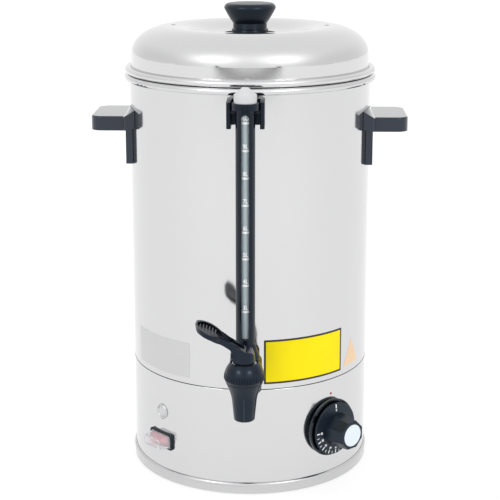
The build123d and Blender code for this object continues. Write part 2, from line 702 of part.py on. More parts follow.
def make_handle(side):
    """Moulded handle: grip, root and finger guard in one piece, seated on the round tank."""
    handle = handle_grip() + handle_root() + handle_guard()
    handle -= wall_cylinder(BODY_R + SEAT_GAP)
    for y in (-HANDLE_SCREW_SPAN / 2, HANDLE_SCREW_SPAN / 2):
        bore = Rot(0, 90, 0) * rod(HANDLE_SCREW_R + FIT, BODY_R - 30, BODY_R + HANDLE_SCREW_L)
        handle -= Pos(0, y, HANDLE_Z + HANDLE_T / 2) * bore
    handle = handle.solids().sort_by(SortBy.VOLUME)[-1]
    return handle if side > 0 else Rot(0, 0, 180) * handle


def make_handle_left():
    return make_handle(-1)


def make_handle_right():
    return make_handle(1)


def handle_screw_places():
    """One plane per screw, its z pointing outwards from the inner face of the wall."""
    places = []
    for side in (-1, 1):
        for y in (-HANDLE_SCREW_SPAN / 2, HANDLE_SCREW_SPAN / 2):
            seat = math.sqrt(WALL_IN ** 2 - (abs(y) + HANDLE_SCREW_HEAD_R) ** 2) - FIT
            places.append(Plane(origin=(side * seat, y, HANDLE_Z + HANDLE_T / 2), z_dir=(side, 0, 0)))
    return places


def make_handle_screws():
    length = HANDLE_SCREW_L + BODY_R - WALL_IN
    screw = pan_screw(HANDLE_SCREW_R, length, HANDLE_SCREW_HEAD_R, HANDLE_SCREW_HEAD_H)
    return Compound(children=[place * Pos(0, 0, -SEAL_T) * screw for place in handle_screw_places()])


def make_handle_seals():
    ring = tube(HANDLE_SCREW_HEAD_R, HANDLE_SCREW_R + SLIP, -SEAL_T + FIT, 0)
    return [place * ring for place in handle_screw_places()]


# ================================================================ tap
def on_tap(shape):
    return Pos(0, -TAP_Y, 0) * shape


def make_tap_body():
    seat_low = SEAT_Z - SEAT_T
    outline = Polyline(
        (COLLAR_R, COLLAR_Z), (NECK_R, COLLAR_Z), (NECK_R, NECK_TOP), (CHAMBER_R, NECK_TOP), (CHAMBER_R, SEAT_Z),
        (SEAT_BORE, SEAT_Z), (SEAT_BORE, seat_low), (SPOUT_BORE, seat_low - 2), (SPOUT_BORE, SPOUT_Z + 0.6),
        (SPOUT_BORE + 0.6, SPOUT_Z), (SPOUT_R - 0.6, SPOUT_Z), (SPOUT_R, SPOUT_Z + 0.6),
        (SPOUT_WAIST_R, SPOUT_WAIST_Z),
    )
    flare = Bezier(
        (SPOUT_WAIST_R, SPOUT_WAIST_Z), (SPOUT_WAIST_R + 0.9, SPOUT_WAIST_Z + 7),
        (COLLAR_R - 2.1, COLLAR_Z - 6.2), (COLLAR_R, COLLAR_Z - 1.2),
    )
    lip = Line((COLLAR_R, COLLAR_Z - 1.2), (COLLAR_R, COLLAR_Z))
    body = on_tap(turned(*outline.edges(), flare, lip))
    inlet_end = TAP_Y - GAUGE_Y - BLOCK_FRONT + INLET_IN
    along = Pos(0, -TAP_Y, INLET_Z) * Rot(-90, 0, 0)
    body += along * rod(INLET_R, CHAMBER_R + 1, inlet_end)
    body -= on_tap(rod(CHAMBER_R, SEAT_Z, NECK_TOP))
    return body - along * rod(INLET_BORE, CHAMBER_R - 2, inlet_end)


def make_tap_bonnet():
    low = COLLAR_Z + FIT
    dimple = BONNET_TOP - DIMPLE_DEPTH
    thread = NECK_R + FIT
    inner = Polyline(
        (DIMPLE_R, BONNET_TOP), (DIMPLE_R - 0.5, dimple), (STEM_R + FIT, dimple), (STEM_R + FIT, SPRING_TOP),
        (SPRING_POCKET_R, SPRING_TOP), (SPRING_POCKET_R, NECK_TOP + FIT), (thread, NECK_TOP + FIT),
        (thread, low), (COLLAR_R + 0.3, low),
        (BONNET_R, BONNET_BAND_Z), (BONNET_R, BONNET_BAND_Z + BONNET_BAND_H),
    )
    dome_low = (BONNET_R, BONNET_BAND_Z + BONNET_BAND_H)
    dome = ThreePointArc(dome_low, (BONNET_R - DOME_IN, BONNET_TOP - DOME_DROP), (DIMPLE_R, BONNET_TOP))
    bonnet = turned(*inner.edges(), dome)
    knurl = rod(KNURL_R, BONNET_BAND_Z - 1.0, BONNET_TOP - 3.0)
    cuts = [place * knurl for place in PolarLocations(BONNET_R - 0.1, KNURL_COUNT)]
    return on_tap(bonnet - cuts)


def make_cam_washer():
    return on_tap(tube(WASHER_R, STEM_R + SLIP, WASHER_Z, WASHER_Z + WASHER_T))


def make_tap_stem():
    """Valve stem: a disc held by the cup, a round shank and a flat lug for the lever's pin."""
    shank_top = PIN_Z - LUG_R
    stem = rod(STEM_R, CUP_Z + 2.4, shank_top) + rod(STEM_R + 2.0, CUP_Z + 2.4, CUP_Z + 3.8)
    lug = Pos(0, 0, PIN_Z) * Rot(90, 0, 0) * Cylinder(LUG_R, LUG_T)
    web = Pos(0, 0, (shank_top - 2 + PIN_Z) / 2) * Box(2 * STEM_R, LUG_T, PIN_Z - shank_top + 2)
    lug += web & rod(STEM_R, shank_top - 5, PIN_Z + 5)
    stem += lug
    return on_tap(stem - Pos(0, 0, PIN_Z) * Rot(90, 0, 0) * Cylinder(PIN_R + FIT, 2 * HUB_R))


def make_seat_cup():
    """Silicone cup that closes the seat, snapped over the stem's disc."""
    outline = Polyline(
        (0, CUP_Z), (SEAT_BORE + 1.5, CUP_Z), (CUP_R, CUP_Z + 1.6), (CUP_R, CUP_Z + CUP_H - 0.8),
        (CUP_R - 0.8, CUP_Z + CUP_H), (STEM_R + FIT, CUP_Z + CUP_H), (STEM_R + FIT, CUP_Z + 3.8 + FIT),
        (STEM_R + 2.0 + FIT, CUP_Z + 3.8 + FIT), (STEM_R + 2.0 + FIT, CUP_Z + 2.4 - FIT), (0, CUP_Z + 2.4 - FIT),
        close=True,
    )
    return on_tap(turned(*outline.edges()))


def make_tap_spring():
    low = CUP_Z + CUP_H + SPRING_WIRE + FIT
    height = SPRING_TOP - FIT - SPRING_WIRE - low
    helix = Helix(height / SPRING_TURNS, height, SPRING_R)
    start = Plane(origin=helix @ 0, z_dir=helix % 0)
    return on_tap(Pos(0, 0, low) * sweep(start * Circle(SPRING_WIRE), path=helix))


def lever_side():
    """Side view of the lever, drawn as (x, z) from the pin, the arm towards -X."""
    foot = -HUB_DROP
    flat = HUB_R - HUB_FOOT_R
    tip = (-LEVER_REACH, LEVER_RISE)
    points = [
        (-flat, foot), (flat, foot), (HUB_R, foot + HUB_FOOT_R), (HUB_R - 1.2, 1.0), (6.6, 3.4), (1.5, 4.6),
        (-12.0, 12.8), (-17.8, 16.2), (-29.0, 22.2), (-LEVER_REACH + 1.0, LEVER_RISE + 0.9), tip,
        (-LEVER_REACH + 1.6, LEVER_RISE - LEVER_THICK), (-28.0, 17.2), (-17.8, 10.4), (-12.0, 5.6),
        (-HUB_R, 2.2), (-HUB_R, foot + HUB_FOOT_R),
    ]
    return make_face(Polyline(*points, close=True).edges())


def lever_plan():
    """Plan view of the lever: round hub, arm and paddle."""
    hub = Circle(HUB_R)
    pad_x = -LEVER_REACH + PADDLE_L / 2 * math.cos(math.radians(31))
    pad = Pos(pad_x, 0) * Ellipse(LEVER_REACH + pad_x, PADDLE_W / 2)
    arm = make_face(Polyline(
        (0, -ARM_W / 2), (-13, -ARM_W / 2), (pad_x + 3, -PADDLE_W * 0.42), (pad_x + 3, PADDLE_W * 0.42),
        (-13, ARM_W / 2), (0, ARM_W / 2), close=True).edges())
    return hub + arm + pad, pad_x


def make_tap_lever():
    outline, pad_x = lever_plan()
    side = extrude(Plane.XZ * lever_side(), HUB_R + PADDLE_W, both=True)
    lever = side & (Pos(0, 0, -30) * extrude(outline, 80))
    slope = math.degrees(math.atan2(LEVER_RISE - 16.2, LEVER_REACH - 17.8))
    pad_z = 16.2 + (-17.8 - pad_x) * math.tan(math.radians(slope)) + 0.35
    face = Pos(pad_x, 0, pad_z) * Rot(0, slope, 0)
    pocket = extrude(Ellipse(PADDLE_L / 2 - PADDLE_RIM, PADDLE_W / 2 - PADDLE_RIM), 8)
    lever -= face * Pos(0, 0, -PADDLE_RECESS) * pocket
    rib_l = PADDLE_W - 2 * PADDLE_RIM - 5.0
    for i in range(RIB_COUNT):
        shift = (i - (RIB_COUNT - 1) / 2) * RIB_PITCH - 1.5
        length = rib_l * math.sqrt(max(0.2, 1 - (shift / (PADDLE_L / 2 - 1)) ** 2))
        rib = fillet(Box(RIB_W, length, RIB_H).edges().filter_by(Axis.Z), RIB_W * 0.45)
        lever += face * Pos(shift, 0, RIB_H / 2 - PADDLE_RECESS) * rib
    slot = Box(12.5, LEVER_SLOT, 60, align=(Align.MAX, Align.CENTER, Align.CENTER))
    slot += Pos(0, 0, -30) * extrude(Circle(LEVER_SLOT / 2), 34)
    slot += Pos(0, 0, -HUB_DROP) * Box(2 * LUG_R + 1, LEVER_SLOT, 2 * (HUB_DROP + LUG_R + 0.5))
    front = Pos(HUB_WALL - HUB_R, 0, 0) * Box(16, LEVER_SLOT, 20, align=(Align.MAX, Align.CENTER, Align.MAX))
    lever -= slot - front
    lever += Pos(-HUB_R - 0.8, 0, -1.2) * Box(3.0, 5.0, 4.6)
    lever -= Rot(90, 0, 0) * rod(PIN_R, -HUB_R - 1, HUB_R - PIN_SKIN)
    lever = lever.solids().sort_by(SortBy.VOLUME)[-1]
    return on_tap(Pos(0, 0, PIN_Z) * lever)


def make_lever_pin():
    """Cross pin of the lever, pressed in from the back into a blind bore."""
    pin = rod(PIN_R - 0.02, PIN_END - HUB_R, HUB_R - PIN_SKIN - FIT)
    return on_tap(Pos(0, 0, PIN_Z) * Rot(90, 0, 0) * pin)


# ================================================================ sight gauge
def on_gauge(shape):
    return Pos(0, -GAUGE_Y, 0) * shape


def make_gauge_block():
    """Moulded tee: shank through the wall, inlet socket at the front and the glass's socket on top."""
    forward = Pos(0, 0, INLET_Z) * Rot(90, 0, 0)
    wall = BODY_R + GASKET_T
    mid_z = (BLOCK_Z + BLOCK_TOP) / 2
    section = Pos(0, mid_z) * RectangleRounded(BLOCK_W, BLOCK_TOP - BLOCK_Z, BLOCK_CORNER)
    back = GAUGE_Y - BLOCK_BACK
    front = GAUGE_Y + BLOCK_FRONT
    block = Pos(0, -back, 0) * extrude(Plane.XZ * section, front - back)
    block = fillet(block.edges().group_by(Axis.Y)[0], 1.2)
    block += forward * rod(SHANK_FLANGE_R, wall, wall + SHANK_FLANGE_T)
    block += forward * rod(SHANK_R + 2.6, wall + SHANK_FLANGE_T, back)
    block += forward * rod(SHANK_R, WALL_IN - SHANK_THREAD, wall)
    block += on_gauge(rod(GLASS_R + 3.0, BLOCK_TOP, BLOCK_TOP + 4.0))
    block -= forward * rod(SHANK_BORE, WALL_IN - SHANK_THREAD - 1, front - INLET_IN - 0.5)
    block -= forward * rod(INLET_R + FIT, front - INLET_IN - 0.5, front + 1)
    return block - on_gauge(rod(GLASS_R + FIT, INLET_Z, BLOCK_TOP + 6))


def make_shank_gaskets():
    forward = Pos(0, 0, INLET_Z) * Rot(90, 0, 0)
    outer = forward * tube(SHANK_FLANGE_R - 0.8, SHANK_R + SLIP, BODY_R - 2, BODY_R + GASKET_T - FIT)
    outer -= wall_cylinder(WALL_FACE)
    inner_face = math.sqrt(WALL_IN ** 2 - (SHANK_NUT_AF / 2 + 1) ** 2)
    inner = forward * tube(SHANK_NUT_AF / 2 + 1, SHANK_R + SLIP, inner_face - GASKET_T, WALL_IN + 1)
    inner &= wall_cylinder(WALL_IN - FIT)
    return [outer, inner]


def make_gaskets():
    """Soft gaskets of the gauge's shank, the handle screws, the heater and the cable gland."""
    rings = make_shank_gaskets() + make_handle_seals() + make_element_seals() + [make_gland_seal()]
    return Compound(children=rings)


def make_shank_nut():
    forward = Pos(0, 0, INLET_Z) * Rot(90, 0, 0)
    inner_face = math.sqrt(WALL_IN ** 2 - (SHANK_NUT_AF / 2 + 1) ** 2)
    face = inner_face - GASKET_T - FIT
    return forward * hex_nut(SHANK_NUT_AF, SHANK_R + FIT, face - SHANK_NUT_T, face)


def make_gauge_cone():
    low = BLOCK_TOP + FIT
    top = low + CONE_H
    bore = GLASS_R + 3.0 + FIT
    seal = GLASS_R + 2.4
    cone = turned_points(
        (CONE_R, low), (CONE_R - 0.3, low + 2.2), (CONE_TOP_R, top - 1.2), (CONE_TOP_R - 0.8, top), (seal, top),
        (seal, low + 4.0 + FIT), (bore, low + 4.0 + FIT), (bore, low),
    )
    return on_gauge(cone)


def make_gauge_seals():
    low = BLOCK_TOP + 4.0 + FIT
    neck = GLASS_R + 1.2
    lower = turned_points(
        (GLASS_R + FIT, low), (GLASS_R + 2.3, low), (GLASS_R + 2.3, low + 9.0), (neck, low + 9.8),
        (neck, low + 9.8 + LOWER_SEAL_NECK), (GLASS_R + FIT, low + 10.6 + LOWER_SEAL_NECK),
    )
    upper = tube(GLASS_R + 2.0, GLASS_R + FIT, COLLAR_RING_Z + 1.0, COLLAR_RING_Z + 4.0)
    return Compound(children=[on_gauge(lower), on_gauge(upper)])


def make_gauge_glass():
    return on_gauge(tube(GLASS_R, GLASS_R - GLASS_T, GLASS_BOTTOM, GLASS_TOP))


def make_gauge_shroud():
    """Guard tube of the glass, slotted at the front and, narrower, at the back."""
    low = BLOCK_TOP + FIT + CONE_H + SEAT_GAP
    shroud = tube(SHROUD_R, SHROUD_R - SHROUD_T, low, SHROUD_TOP)
    for width, reach in ((SLOT_W, SHROUD_R + 2), (SLOT_BACK_W, -SHROUD_R - 2)):
        slot = Pos(0, (SLOT_TOP + SLOT_BOTTOM) / 2) * Rot(0, 0, 90) * SlotOverall(SLOT_TOP - SLOT_BOTTOM, width)
        shroud -= extrude(Plane.XZ * slot, reach)
    return on_gauge(shroud)


def make_gauge_collar():
    top = COLLAR_RING_Z + COLLAR_RING_H
    collar = turned_points(
        (COLLAR_RING_R - 0.8, COLLAR_RING_Z), (COLLAR_RING_R, COLLAR_RING_Z + 0.8), (COLLAR_RING_R, top - 1.0),
        (COLLAR_RING_R - 1.0, top), (GLASS_R + 0.4, top), (GLASS_R + 0.4, COLLAR_RING_Z + 4.0 + FIT),
        (GLASS_R + 2.0 + FIT, COLLAR_RING_Z + 4.0 + FIT), (GLASS_R + 2.0 + FIT, COLLAR_RING_Z + 1.0 - FIT),
        (GLASS_R + 0.4, COLLAR_RING_Z + 1.0 - FIT), (GLASS_R + 0.4, COLLAR_RING_Z),
    )
    for x in (-COLLAR_NOTCH * 0.65, COLLAR_NOTCH * 0.65):
        notch = Box(COLLAR_NOTCH * 0.8, 3.0, 4.4)
        collar -= Pos(x, -COLLAR_RING_R, COLLAR_RING_Z + COLLAR_RING_H * 0.38) * notch
    return on_gauge(collar)


def make_gauge_cap():
    low = COLLAR_RING_Z + COLLAR_RING_H + FIT
    top = low + CAP_H
    shoulder = low + CAP_SHOULDER
    bore = GLASS_R + SEAT_GAP
    cap = turned_points(
        (CAP_R, low), (CAP_R, shoulder - 0.5), (CAP_R - 0.5, shoulder), (CAP_TIP_R, top), (0, top),
        (0, top - CAP_WALL), (bore, shoulder + 1.6), (bore, low),
    )
    return on_gauge(cap)


def bracket_screw_heights():
    middle = WING_Z + WING_H / 2 - 2.0
    return (middle - BRACKET_SCREW_SPAN / 2, middle + BRACKET_SCREW_SPAN / 2)


def make_gauge_bracket():
    """Fork that holds the gauge's top: wall plate, two wings and a slotted shelf."""
    mid = WING_Z + WING_H / 2
    back = BODY_R - 3.0
    plate_front = BODY_R + FIT + BRACKET_PLATE_T
    bracket = Pos(0, -(back + plate_front) / 2, mid) * Box(2 * WING_HALF, plate_front - back, WING_H)
    for side in (-1, 1):
        wing = Box(WING_T, WING_FRONT - back, WING_H)
        wing = fillet(wing.edges().filter_by(Axis.Z).group_by(Axis.Y)[0], 1.4)
        bracket += Pos(side * (WING_HALF - WING_T / 2), -(back + WING_FRONT) / 2, mid) * wing
    shelf_z = SHROUD_TOP - FORK_T
    shelf = Pos(0, -(back + FORK_FRONT) / 2, shelf_z + FORK_T / 2) * Box(
        2 * (WING_HALF - WING_T) + 1, FORK_FRONT - back, FORK_T
    )
    notch = SHROUD_R + SLIP
    shelf -= on_gauge(rod(notch, shelf_z - 1, SHROUD_TOP + 1))
    shelf -= Pos(0, -GAUGE_Y - 10, shelf_z) * Box(2 * notch, 20, 3 * FORK_T)
    bracket += shelf
    bracket -= wall_cylinder(WALL_FACE)
    for z in bracket_screw_heights():
        bracket -= Pos(0, 0, z) * Rot(90, 0, 0) * rod(BRACKET_SCREW_R + FIT, BODY_R - 10, plate_front + 1)
    return bracket


def make_bracket_screws():
    seat = math.sqrt(WALL_IN ** 2 - BRACKET_SCREW_HEAD_R ** 2) - FIT
    screw = pan_screw(
        BRACKET_SCREW_R, BODY_R + BRACKET_PLATE_T - seat, BRACKET_SCREW_HEAD_R, BRACKET_SCREW_HEAD_H)
    return Compound(children=[
        Plane(origin=(0, -seat, z), z_dir=(0, -1, 0)) * screw for z in bracket_screw_heights()
    ])


# ================================================================ dial and thermostat
def make_dial_bezel():
    """Dished ring behind the knob, its back curved to the housing."""
    body = turned_points(
        (BEZEL_BACK_R, -5), (BEZEL_BACK_R, 0), (BEZEL_R - 0.7, BEZEL_FLOOR - 0.7), (BEZEL_R, BEZEL_PROUD - 1.4),
        (BEZEL_R - 0.6, BEZEL_PROUD), (BEZEL_R - BEZEL_RIM, BEZEL_PROUD),
        (BEZEL_R - BEZEL_RIM - 0.6, BEZEL_FLOOR),
        (THERMO_BUSH_R + SLIP, BEZEL_FLOOR), (THERMO_BUSH_R + SLIP, -5),
    )
    body = at_azimuth(DIAL_AZ, DIAL_Z) * body
    for x in (-THERMO_SCREW_SPAN / 2, THERMO_SCREW_SPAN / 2):
        body -= at_azimuth(DIAL_AZ, DIAL_Z) * Pos(x, 0, 0) * rod(THERMO_SCREW_R + HOLE_GAP, -12, 12)
    return body - wall_cylinder(WALL_FACE)


def make_dial_knob():
    rim = SKIRT_OFF + SKIRT_T
    hollow = SKIRT_OFF + 1.2
    skirt = turned_points(
        (SHAFT_R + 3.5, SKIRT_OFF), (SHAFT_R + 3.5, hollow), (SKIRT_R - 1.6, hollow), (SKIRT_R - 1.6, SKIRT_OFF),
        (SKIRT_R - 0.4, SKIRT_OFF), (SKIRT_R, SKIRT_OFF + 0.4), (SKIRT_R, rim - 0.4), (SKIRT_R - 0.4, rim),
        (GRIP_R - 2, rim + SKIRT_CONE), (0, rim + SKIRT_CONE), (0, SKIRT_OFF),
    )
    low = Plane.XY.offset(rim) * RegularPolygon(GRIP_R, GRIP_SIDES, rotation=22.5)
    high = Plane.XY.offset(KNOB_FACE) * RegularPolygon(GRIP_TIP_R, GRIP_SIDES, rotation=22.5)
    grip = loft([low, high])
    grip = fillet(grip.edges().group_by(Axis.Z)[-1], 0.8)
    knob = skirt + grip
    knob -= rod(FACE_CAP_R + FIT, KNOB_FACE - FACE_CAP_T, KNOB_FACE + 1)
    flat = Pos(0, SHAFT_R - SHAFT_FLAT + FIT, 0) * Box(
        20, 10, 100, align=(Align.CENTER, Align.MIN, Align.CENTER))
    socket = rod(SHAFT_R + FIT, SKIRT_OFF - 1, SKIRT_OFF + SHAFT_IN + 0.5) - flat
    return at_azimuth(DIAL_AZ, DIAL_Z) * (knob - socket)


def make_dial_face_cap():
    cap = rod(FACE_CAP_R, KNOB_FACE - FACE_CAP_T + FIT, KNOB_FACE + 0.3)
    cap = fillet(cap.edges().group_by(Axis.Z)[-1], 0.35)
    return at_azimuth(DIAL_AZ, DIAL_Z) * cap


def make_thermostat_shaft():
    flat = Pos(0, SHAFT_R - SHAFT_FLAT, SKIRT_OFF + 50) * Box(
        20, 10, 100, align=(Align.CENTER, Align.MIN, Align.CENTER))
    back = thermostat_front() - SHAFT_TAIL
    return at_azimuth(DIAL_AZ, DIAL_Z) * (rod(SHAFT_R, back, SKIRT_OFF + SHAFT_IN) - flat)


def thermostat_front():
    """Front of the thermostat's case, from the wall's face, clear of the curved wall."""
    return math.sqrt(WALL_IN ** 2 - (THERMO_W / 2) ** 2) - BODY_R - SEAT_GAP


def make_thermostat_body():
    front = thermostat_front()
    case = Pos(0, 0, front - THERMO_D / 2) * Box(THERMO_W, THERMO_H, THERMO_D)
    case = chamfer(case.edges().filter_by(Axis.Z), 3.0)
    case += rod(THERMO_BUSH_R, front, BEZEL_FLOOR + 1.5)
    case -= rod(SHAFT_R + FIT, front - SHAFT_TAIL - 0.5, BEZEL_FLOOR + 5)
    for x in (-THERMO_SCREW_SPAN / 2, THERMO_SCREW_SPAN / 2):
        case -= Pos(x, 0, 0) * rod(THERMO_SCREW_R + FIT, front - 9, front + 1)
    return at_azimuth(DIAL_AZ, DIAL_Z) * case


def make_thermostat_screws():
    """Two screws through bezel and wall into the thermostat; their heads sit on the bezel's floor."""
    seat = BEZEL_FLOOR + FIT
    screw = Rot(180, 0, 0) * pan_screw(THERMO_SCREW_R, seat - thermostat_front() + 6, 3.4, 2.0)
    return Compound(children=[
        at_azimuth(DIAL_AZ, DIAL_Z) * Pos(x, 0, seat) * screw
        for x in (-THERMO_SCREW_SPAN / 2, THERMO_SCREW_SPAN / 2)
    ])


# ================================================================ switch and lamp
def make_switch_frame():
    """Snap-in switch case: bezel flange cut to the wall, body behind and a well for the rocker."""
    flange = Pos(0, 0, SWITCH_PROUD - 4) * Box(SWITCH_W, SWITCH_H, 8)
    flange = fillet(flange.edges().filter_by(Axis.Z), 2.2)
    flange = chamfer(flange.edges().group_by(Axis.Z)[-1], 0.5)
    frame = at_azimuth(SWITCH_AZ, SWITCH_Z) * flange - wall_cylinder(WALL_FACE)
    body = Pos(0, 0, -SWITCH_BODY_D / 2) * Box(SWITCH_BODY_W, SWITCH_BODY_H, SWITCH_BODY_D)
    frame += at_azimuth(SWITCH_AZ, SWITCH_Z) * body
    well = Pos(0, 0, SWITCH_PROUD - 5) * Box(2 * ROCKER_END_R + 0.6, ROCKER_H + 0.6, 16)
    rim = 2 * BOOT_T + 1.0
    groove = RectangleRounded(BOOT_W + 0.2, BOOT_H + 0.2, 3.0)
    groove -= RectangleRounded(BOOT_W - rim, BOOT_H - rim, 2.2)
    frame -= at_azimuth(SWITCH_AZ, SWITCH_Z) * (well + Pos(0, 0, SWITCH_PROUD - 1) * extrude(groove, 2))
    pivot = Rot(90, 0, 0) * Cylinder(1.0 + FIT, ROCKER_H + 2.4)
    return frame - at_azimuth(SWITCH_AZ, SWITCH_Z) * Pos(0, 0, rocker_pivot()) * pivot


def rocker_pivot():
    return SWITCH_PROUD - 4.2


def make_switch_rocker():
    """Rocker with a hollowed face and ends rounded about its pin; its right end is down."""
    corner_x = math.sqrt(ROCKER_END_R ** 2 - ROCKER_HIGH ** 2)
    low = -1.0
    low_x = math.sqrt(ROCKER_END_R ** 2 - low ** 2)
    face = ThreePointArc((-corner_x, ROCKER_HIGH), (0, ROCKER_HIGH - ROCKER_DISH), (corner_x, ROCKER_HIGH))
    right = ThreePointArc((corner_x, ROCKER_HIGH), (math.sqrt(ROCKER_END_R ** 2 - 4), 2.0), (low_x, low))
    under = Polyline((low_x, low), (3.0, -3.6), (-3.0, -3.6), (-low_x, low))
    left = ThreePointArc((-low_x, low), (-math.sqrt(ROCKER_END_R ** 2 - 4), 2.0), (-corner_x, ROCKER_HIGH))
    body = extrude(Plane.XZ * make_face([face, right, *under.edges(), left]), ROCKER_H / 2, both=True)
    body += Rot(90, 0, 0) * Cylinder(1.0, ROCKER_H + 1.8)
    return at_azimuth(SWITCH_AZ, SWITCH_Z) * Pos(0, 0, rocker_pivot()) * Rot(0, ROCKER_TILT, 0) * body


def make_switch_boot():
    """Clear splash cap over the rocker."""
    height = BOOT_PROUD + 0.9
    low = Plane.XY * RectangleRounded(BOOT_W, BOOT_H, 3.0)
    high = Plane.XY.offset(height) * RectangleRounded(BOOT_W - 5, BOOT_H - 3.4, 3.6)
    outer = fillet(loft([low, high]).edges().group_by(Axis.Z)[-1], 1.6)
    wall = 2 * BOOT_T
    low_in = Plane.XY.offset(-0.5) * RectangleRounded(BOOT_W - wall, BOOT_H - wall, 2.4)
    high_in = Plane.XY.offset(height - BOOT_T) * RectangleRounded(BOOT_W - 5 - wall, BOOT_H - 3.4 - wall, 2.8)
    boot = outer - loft([low_in, high_in])
    return at_azimuth(SWITCH_AZ, SWITCH_Z) * Pos(0, 0, SWITCH_PROUD - 0.9) * boot


def make_blade_terminals():
    """Push-on blades of the switch, the thermostat, the lamp and the limiter."""
    blade = Box(BLADE_W, BLADE_T, BLADE_L, align=(Align.CENTER, Align.CENTER, Align.MAX))
    upright = Rot(0, 0, 90) * blade
    back = thermostat_front() - THERMO_D - FIT
    blades = [at_azimuth(SWITCH_AZ, SWITCH_Z) * Pos(x, 0, -SWITCH_BODY_D - FIT) * upright for x in (-9, 0, 9)]
    blades += [at_azimuth(DIAL_AZ, DIAL_Z) * Pos(x, -THERMO_H / 4, back) * upright for x in (-10, 0, 10)]
    lamp_back = -SEAT_GAP - LAMP_BODY_L - FIT
    blades += [at_azimuth(LAMP_AZ, LAMP_Z) * Pos(0, y, lamp_back) * blade for y in (-2.6, 2.6)]
    top = PLATE_Z + SHEET + LIMIT_H + 2 * FIT + BLADE_L
    blades += [Pos(LIMIT_X + x, LIMIT_Y + 6, top) * upright for x in (-8, 8)]
    return Compound(children=blades)


def make_lamp_bezel():
    ring = turned_points(
        (LAMP_R, -3), (LAMP_R, LAMP_PROUD - 0.6), (LAMP_R - 0.8, LAMP_PROUD), (LAMP_LENS_R + 0.9, LAMP_PROUD),
        (LAMP_LENS_R + FIT, LAMP_PROUD - 1.0), (LAMP_LENS_R + FIT, -3),
    )
    ring = at_azimuth(LAMP_AZ, LAMP_Z) * ring - wall_cylinder(WALL_FACE)
    return ring


def make_lamp_lens():
    lens = turned(
        *Polyline((0, 0), (LAMP_LENS_R, 0), (LAMP_LENS_R, LAMP_PROUD - 1.0)).edges(),
        crown_arc(LAMP_LENS_R, LAMP_PROUD - 1.0, LAMP_LENS_PROUD),
        Line((0, LAMP_LENS_PROUD), (0, 0)),
    )
    return at_azimuth(LAMP_AZ, LAMP_Z) * lens


def make_lamp_body():
    top = -SEAT_GAP
    return at_azimuth(LAMP_AZ, LAMP_Z) * rod(LAMP_BODY_R, top - LAMP_BODY_L, top)


def make_lamp_nut():
    face = math.sqrt(WALL_IN ** 2 - (LAMP_NUT_AF / 2 + 1.2) ** 2) - BODY_R - FIT
    return at_azimuth(LAMP_AZ, LAMP_Z) * hex_nut(LAMP_NUT_AF, LAMP_BODY_R + FIT, face - LAMP_NUT_T, face)


# ================================================================ heating
def element_feet():
    """Places where the heater's two legs pass the floor."""
    a = math.radians(LOOP_GAP_ANGLE)
    x = LOOP_R * math.sin(a) - LOOP_BEND * math.cos(a)
    y = LOOP_R * math.cos(a) + LOOP_BEND * math.sin(a)
    return [(-x, y), (x, y)]


def make_heating_element():
    a = math.radians(LOOP_GAP_ANGLE)
    left, right = element_feet()
    bottom = FLOOR_Z - COLD_END
    bend_z = LOOP_Z - LOOP_BEND
    start = (LOOP_R * math.sin(a), LOOP_R * math.cos(a), LOOP_Z)
    end = (-start[0], start[1], LOOP_Z)
    rise = Line((*right, bottom), (*right, bend_z))
    turn_in = TangentArc((*right, bend_z), start, tangent=(0, 0, 1))
    loop = ThreePointArc(start, (0, -LOOP_R, LOOP_Z), end)
    turn_out = TangentArc((*left, bend_z), end, tangent=(0, 0, 1))
    fall = Line((*left, bend_z), (*left, bottom))
    path = Wire([rise, turn_in, loop, turn_out, fall])
    return sweep(Plane(origin=(*right, bottom), z_dir=(0, 0, 1)) * Circle(TUBE_R), path=path)


def make_element_fittings():
    """Flanged brass fitting on each leg, threaded below the floor."""
    seal_top = FLOOR_Z + SEAL_T + FIT
    fitting = tube(FITTING_R, TUBE_R + FIT, seal_top, seal_top + FITTING_T)
    fitting = chamfer(fitting.edges().group_by(Axis.Z)[-1].sort_by(SortBy.LENGTH)[-1], 0.8)
    fitting += tube(FITTING_THREAD_R, TUBE_R + FIT, FLOOR_Z - SHEET - ELEMENT_NUT_T - 2, seal_top)
    return Compound(children=[Pos(x, y, 0) * fitting for x, y in element_feet()])


def make_element_seals():
    ring = tube(FITTING_R - 0.4, FITTING_THREAD_R + FIT, FLOOR_Z + FIT, FLOOR_Z + SEAL_T)
    return [Pos(x, y, 0) * ring for x, y in element_feet()]


def make_element_nuts():
    top = FLOOR_Z - SHEET - FIT
    nut = hex_nut(ELEMENT_NUT_AF, FITTING_THREAD_R + FIT, top - ELEMENT_NUT_T, top)
    return Compound(children=[Pos(x, y, 0) * nut for x, y in element_feet()])


def make_thermowell():
    """Closed tube welded through the floor; the thermostat's bulb sits in it, dry."""
    well = turned_points(
        (WELL_R, FLOOR_Z - SHEET - 2), (WELL_R, FLOOR_Z + FIT), (WELL_FLANGE_R, FLOOR_Z + FIT),
        (WELL_FLANGE_R, FLOOR_Z + 1.2), (WELL_R, FLOOR_Z + 2.0), (WELL_R, FLOOR_Z + WELL_H - 2),
        (WELL_R - 2, FLOOR_Z + WELL_H), (0, FLOOR_Z + WELL_H), (0, FLOOR_Z + WELL_H - 1.4),
        (WELL_R - WELL_T, FLOOR_Z + WELL_H - 2), (WELL_R - WELL_T, FLOOR_Z - SHEET - 2),
    )
    return Pos(WELL_X, WELL_Y, 0) * well


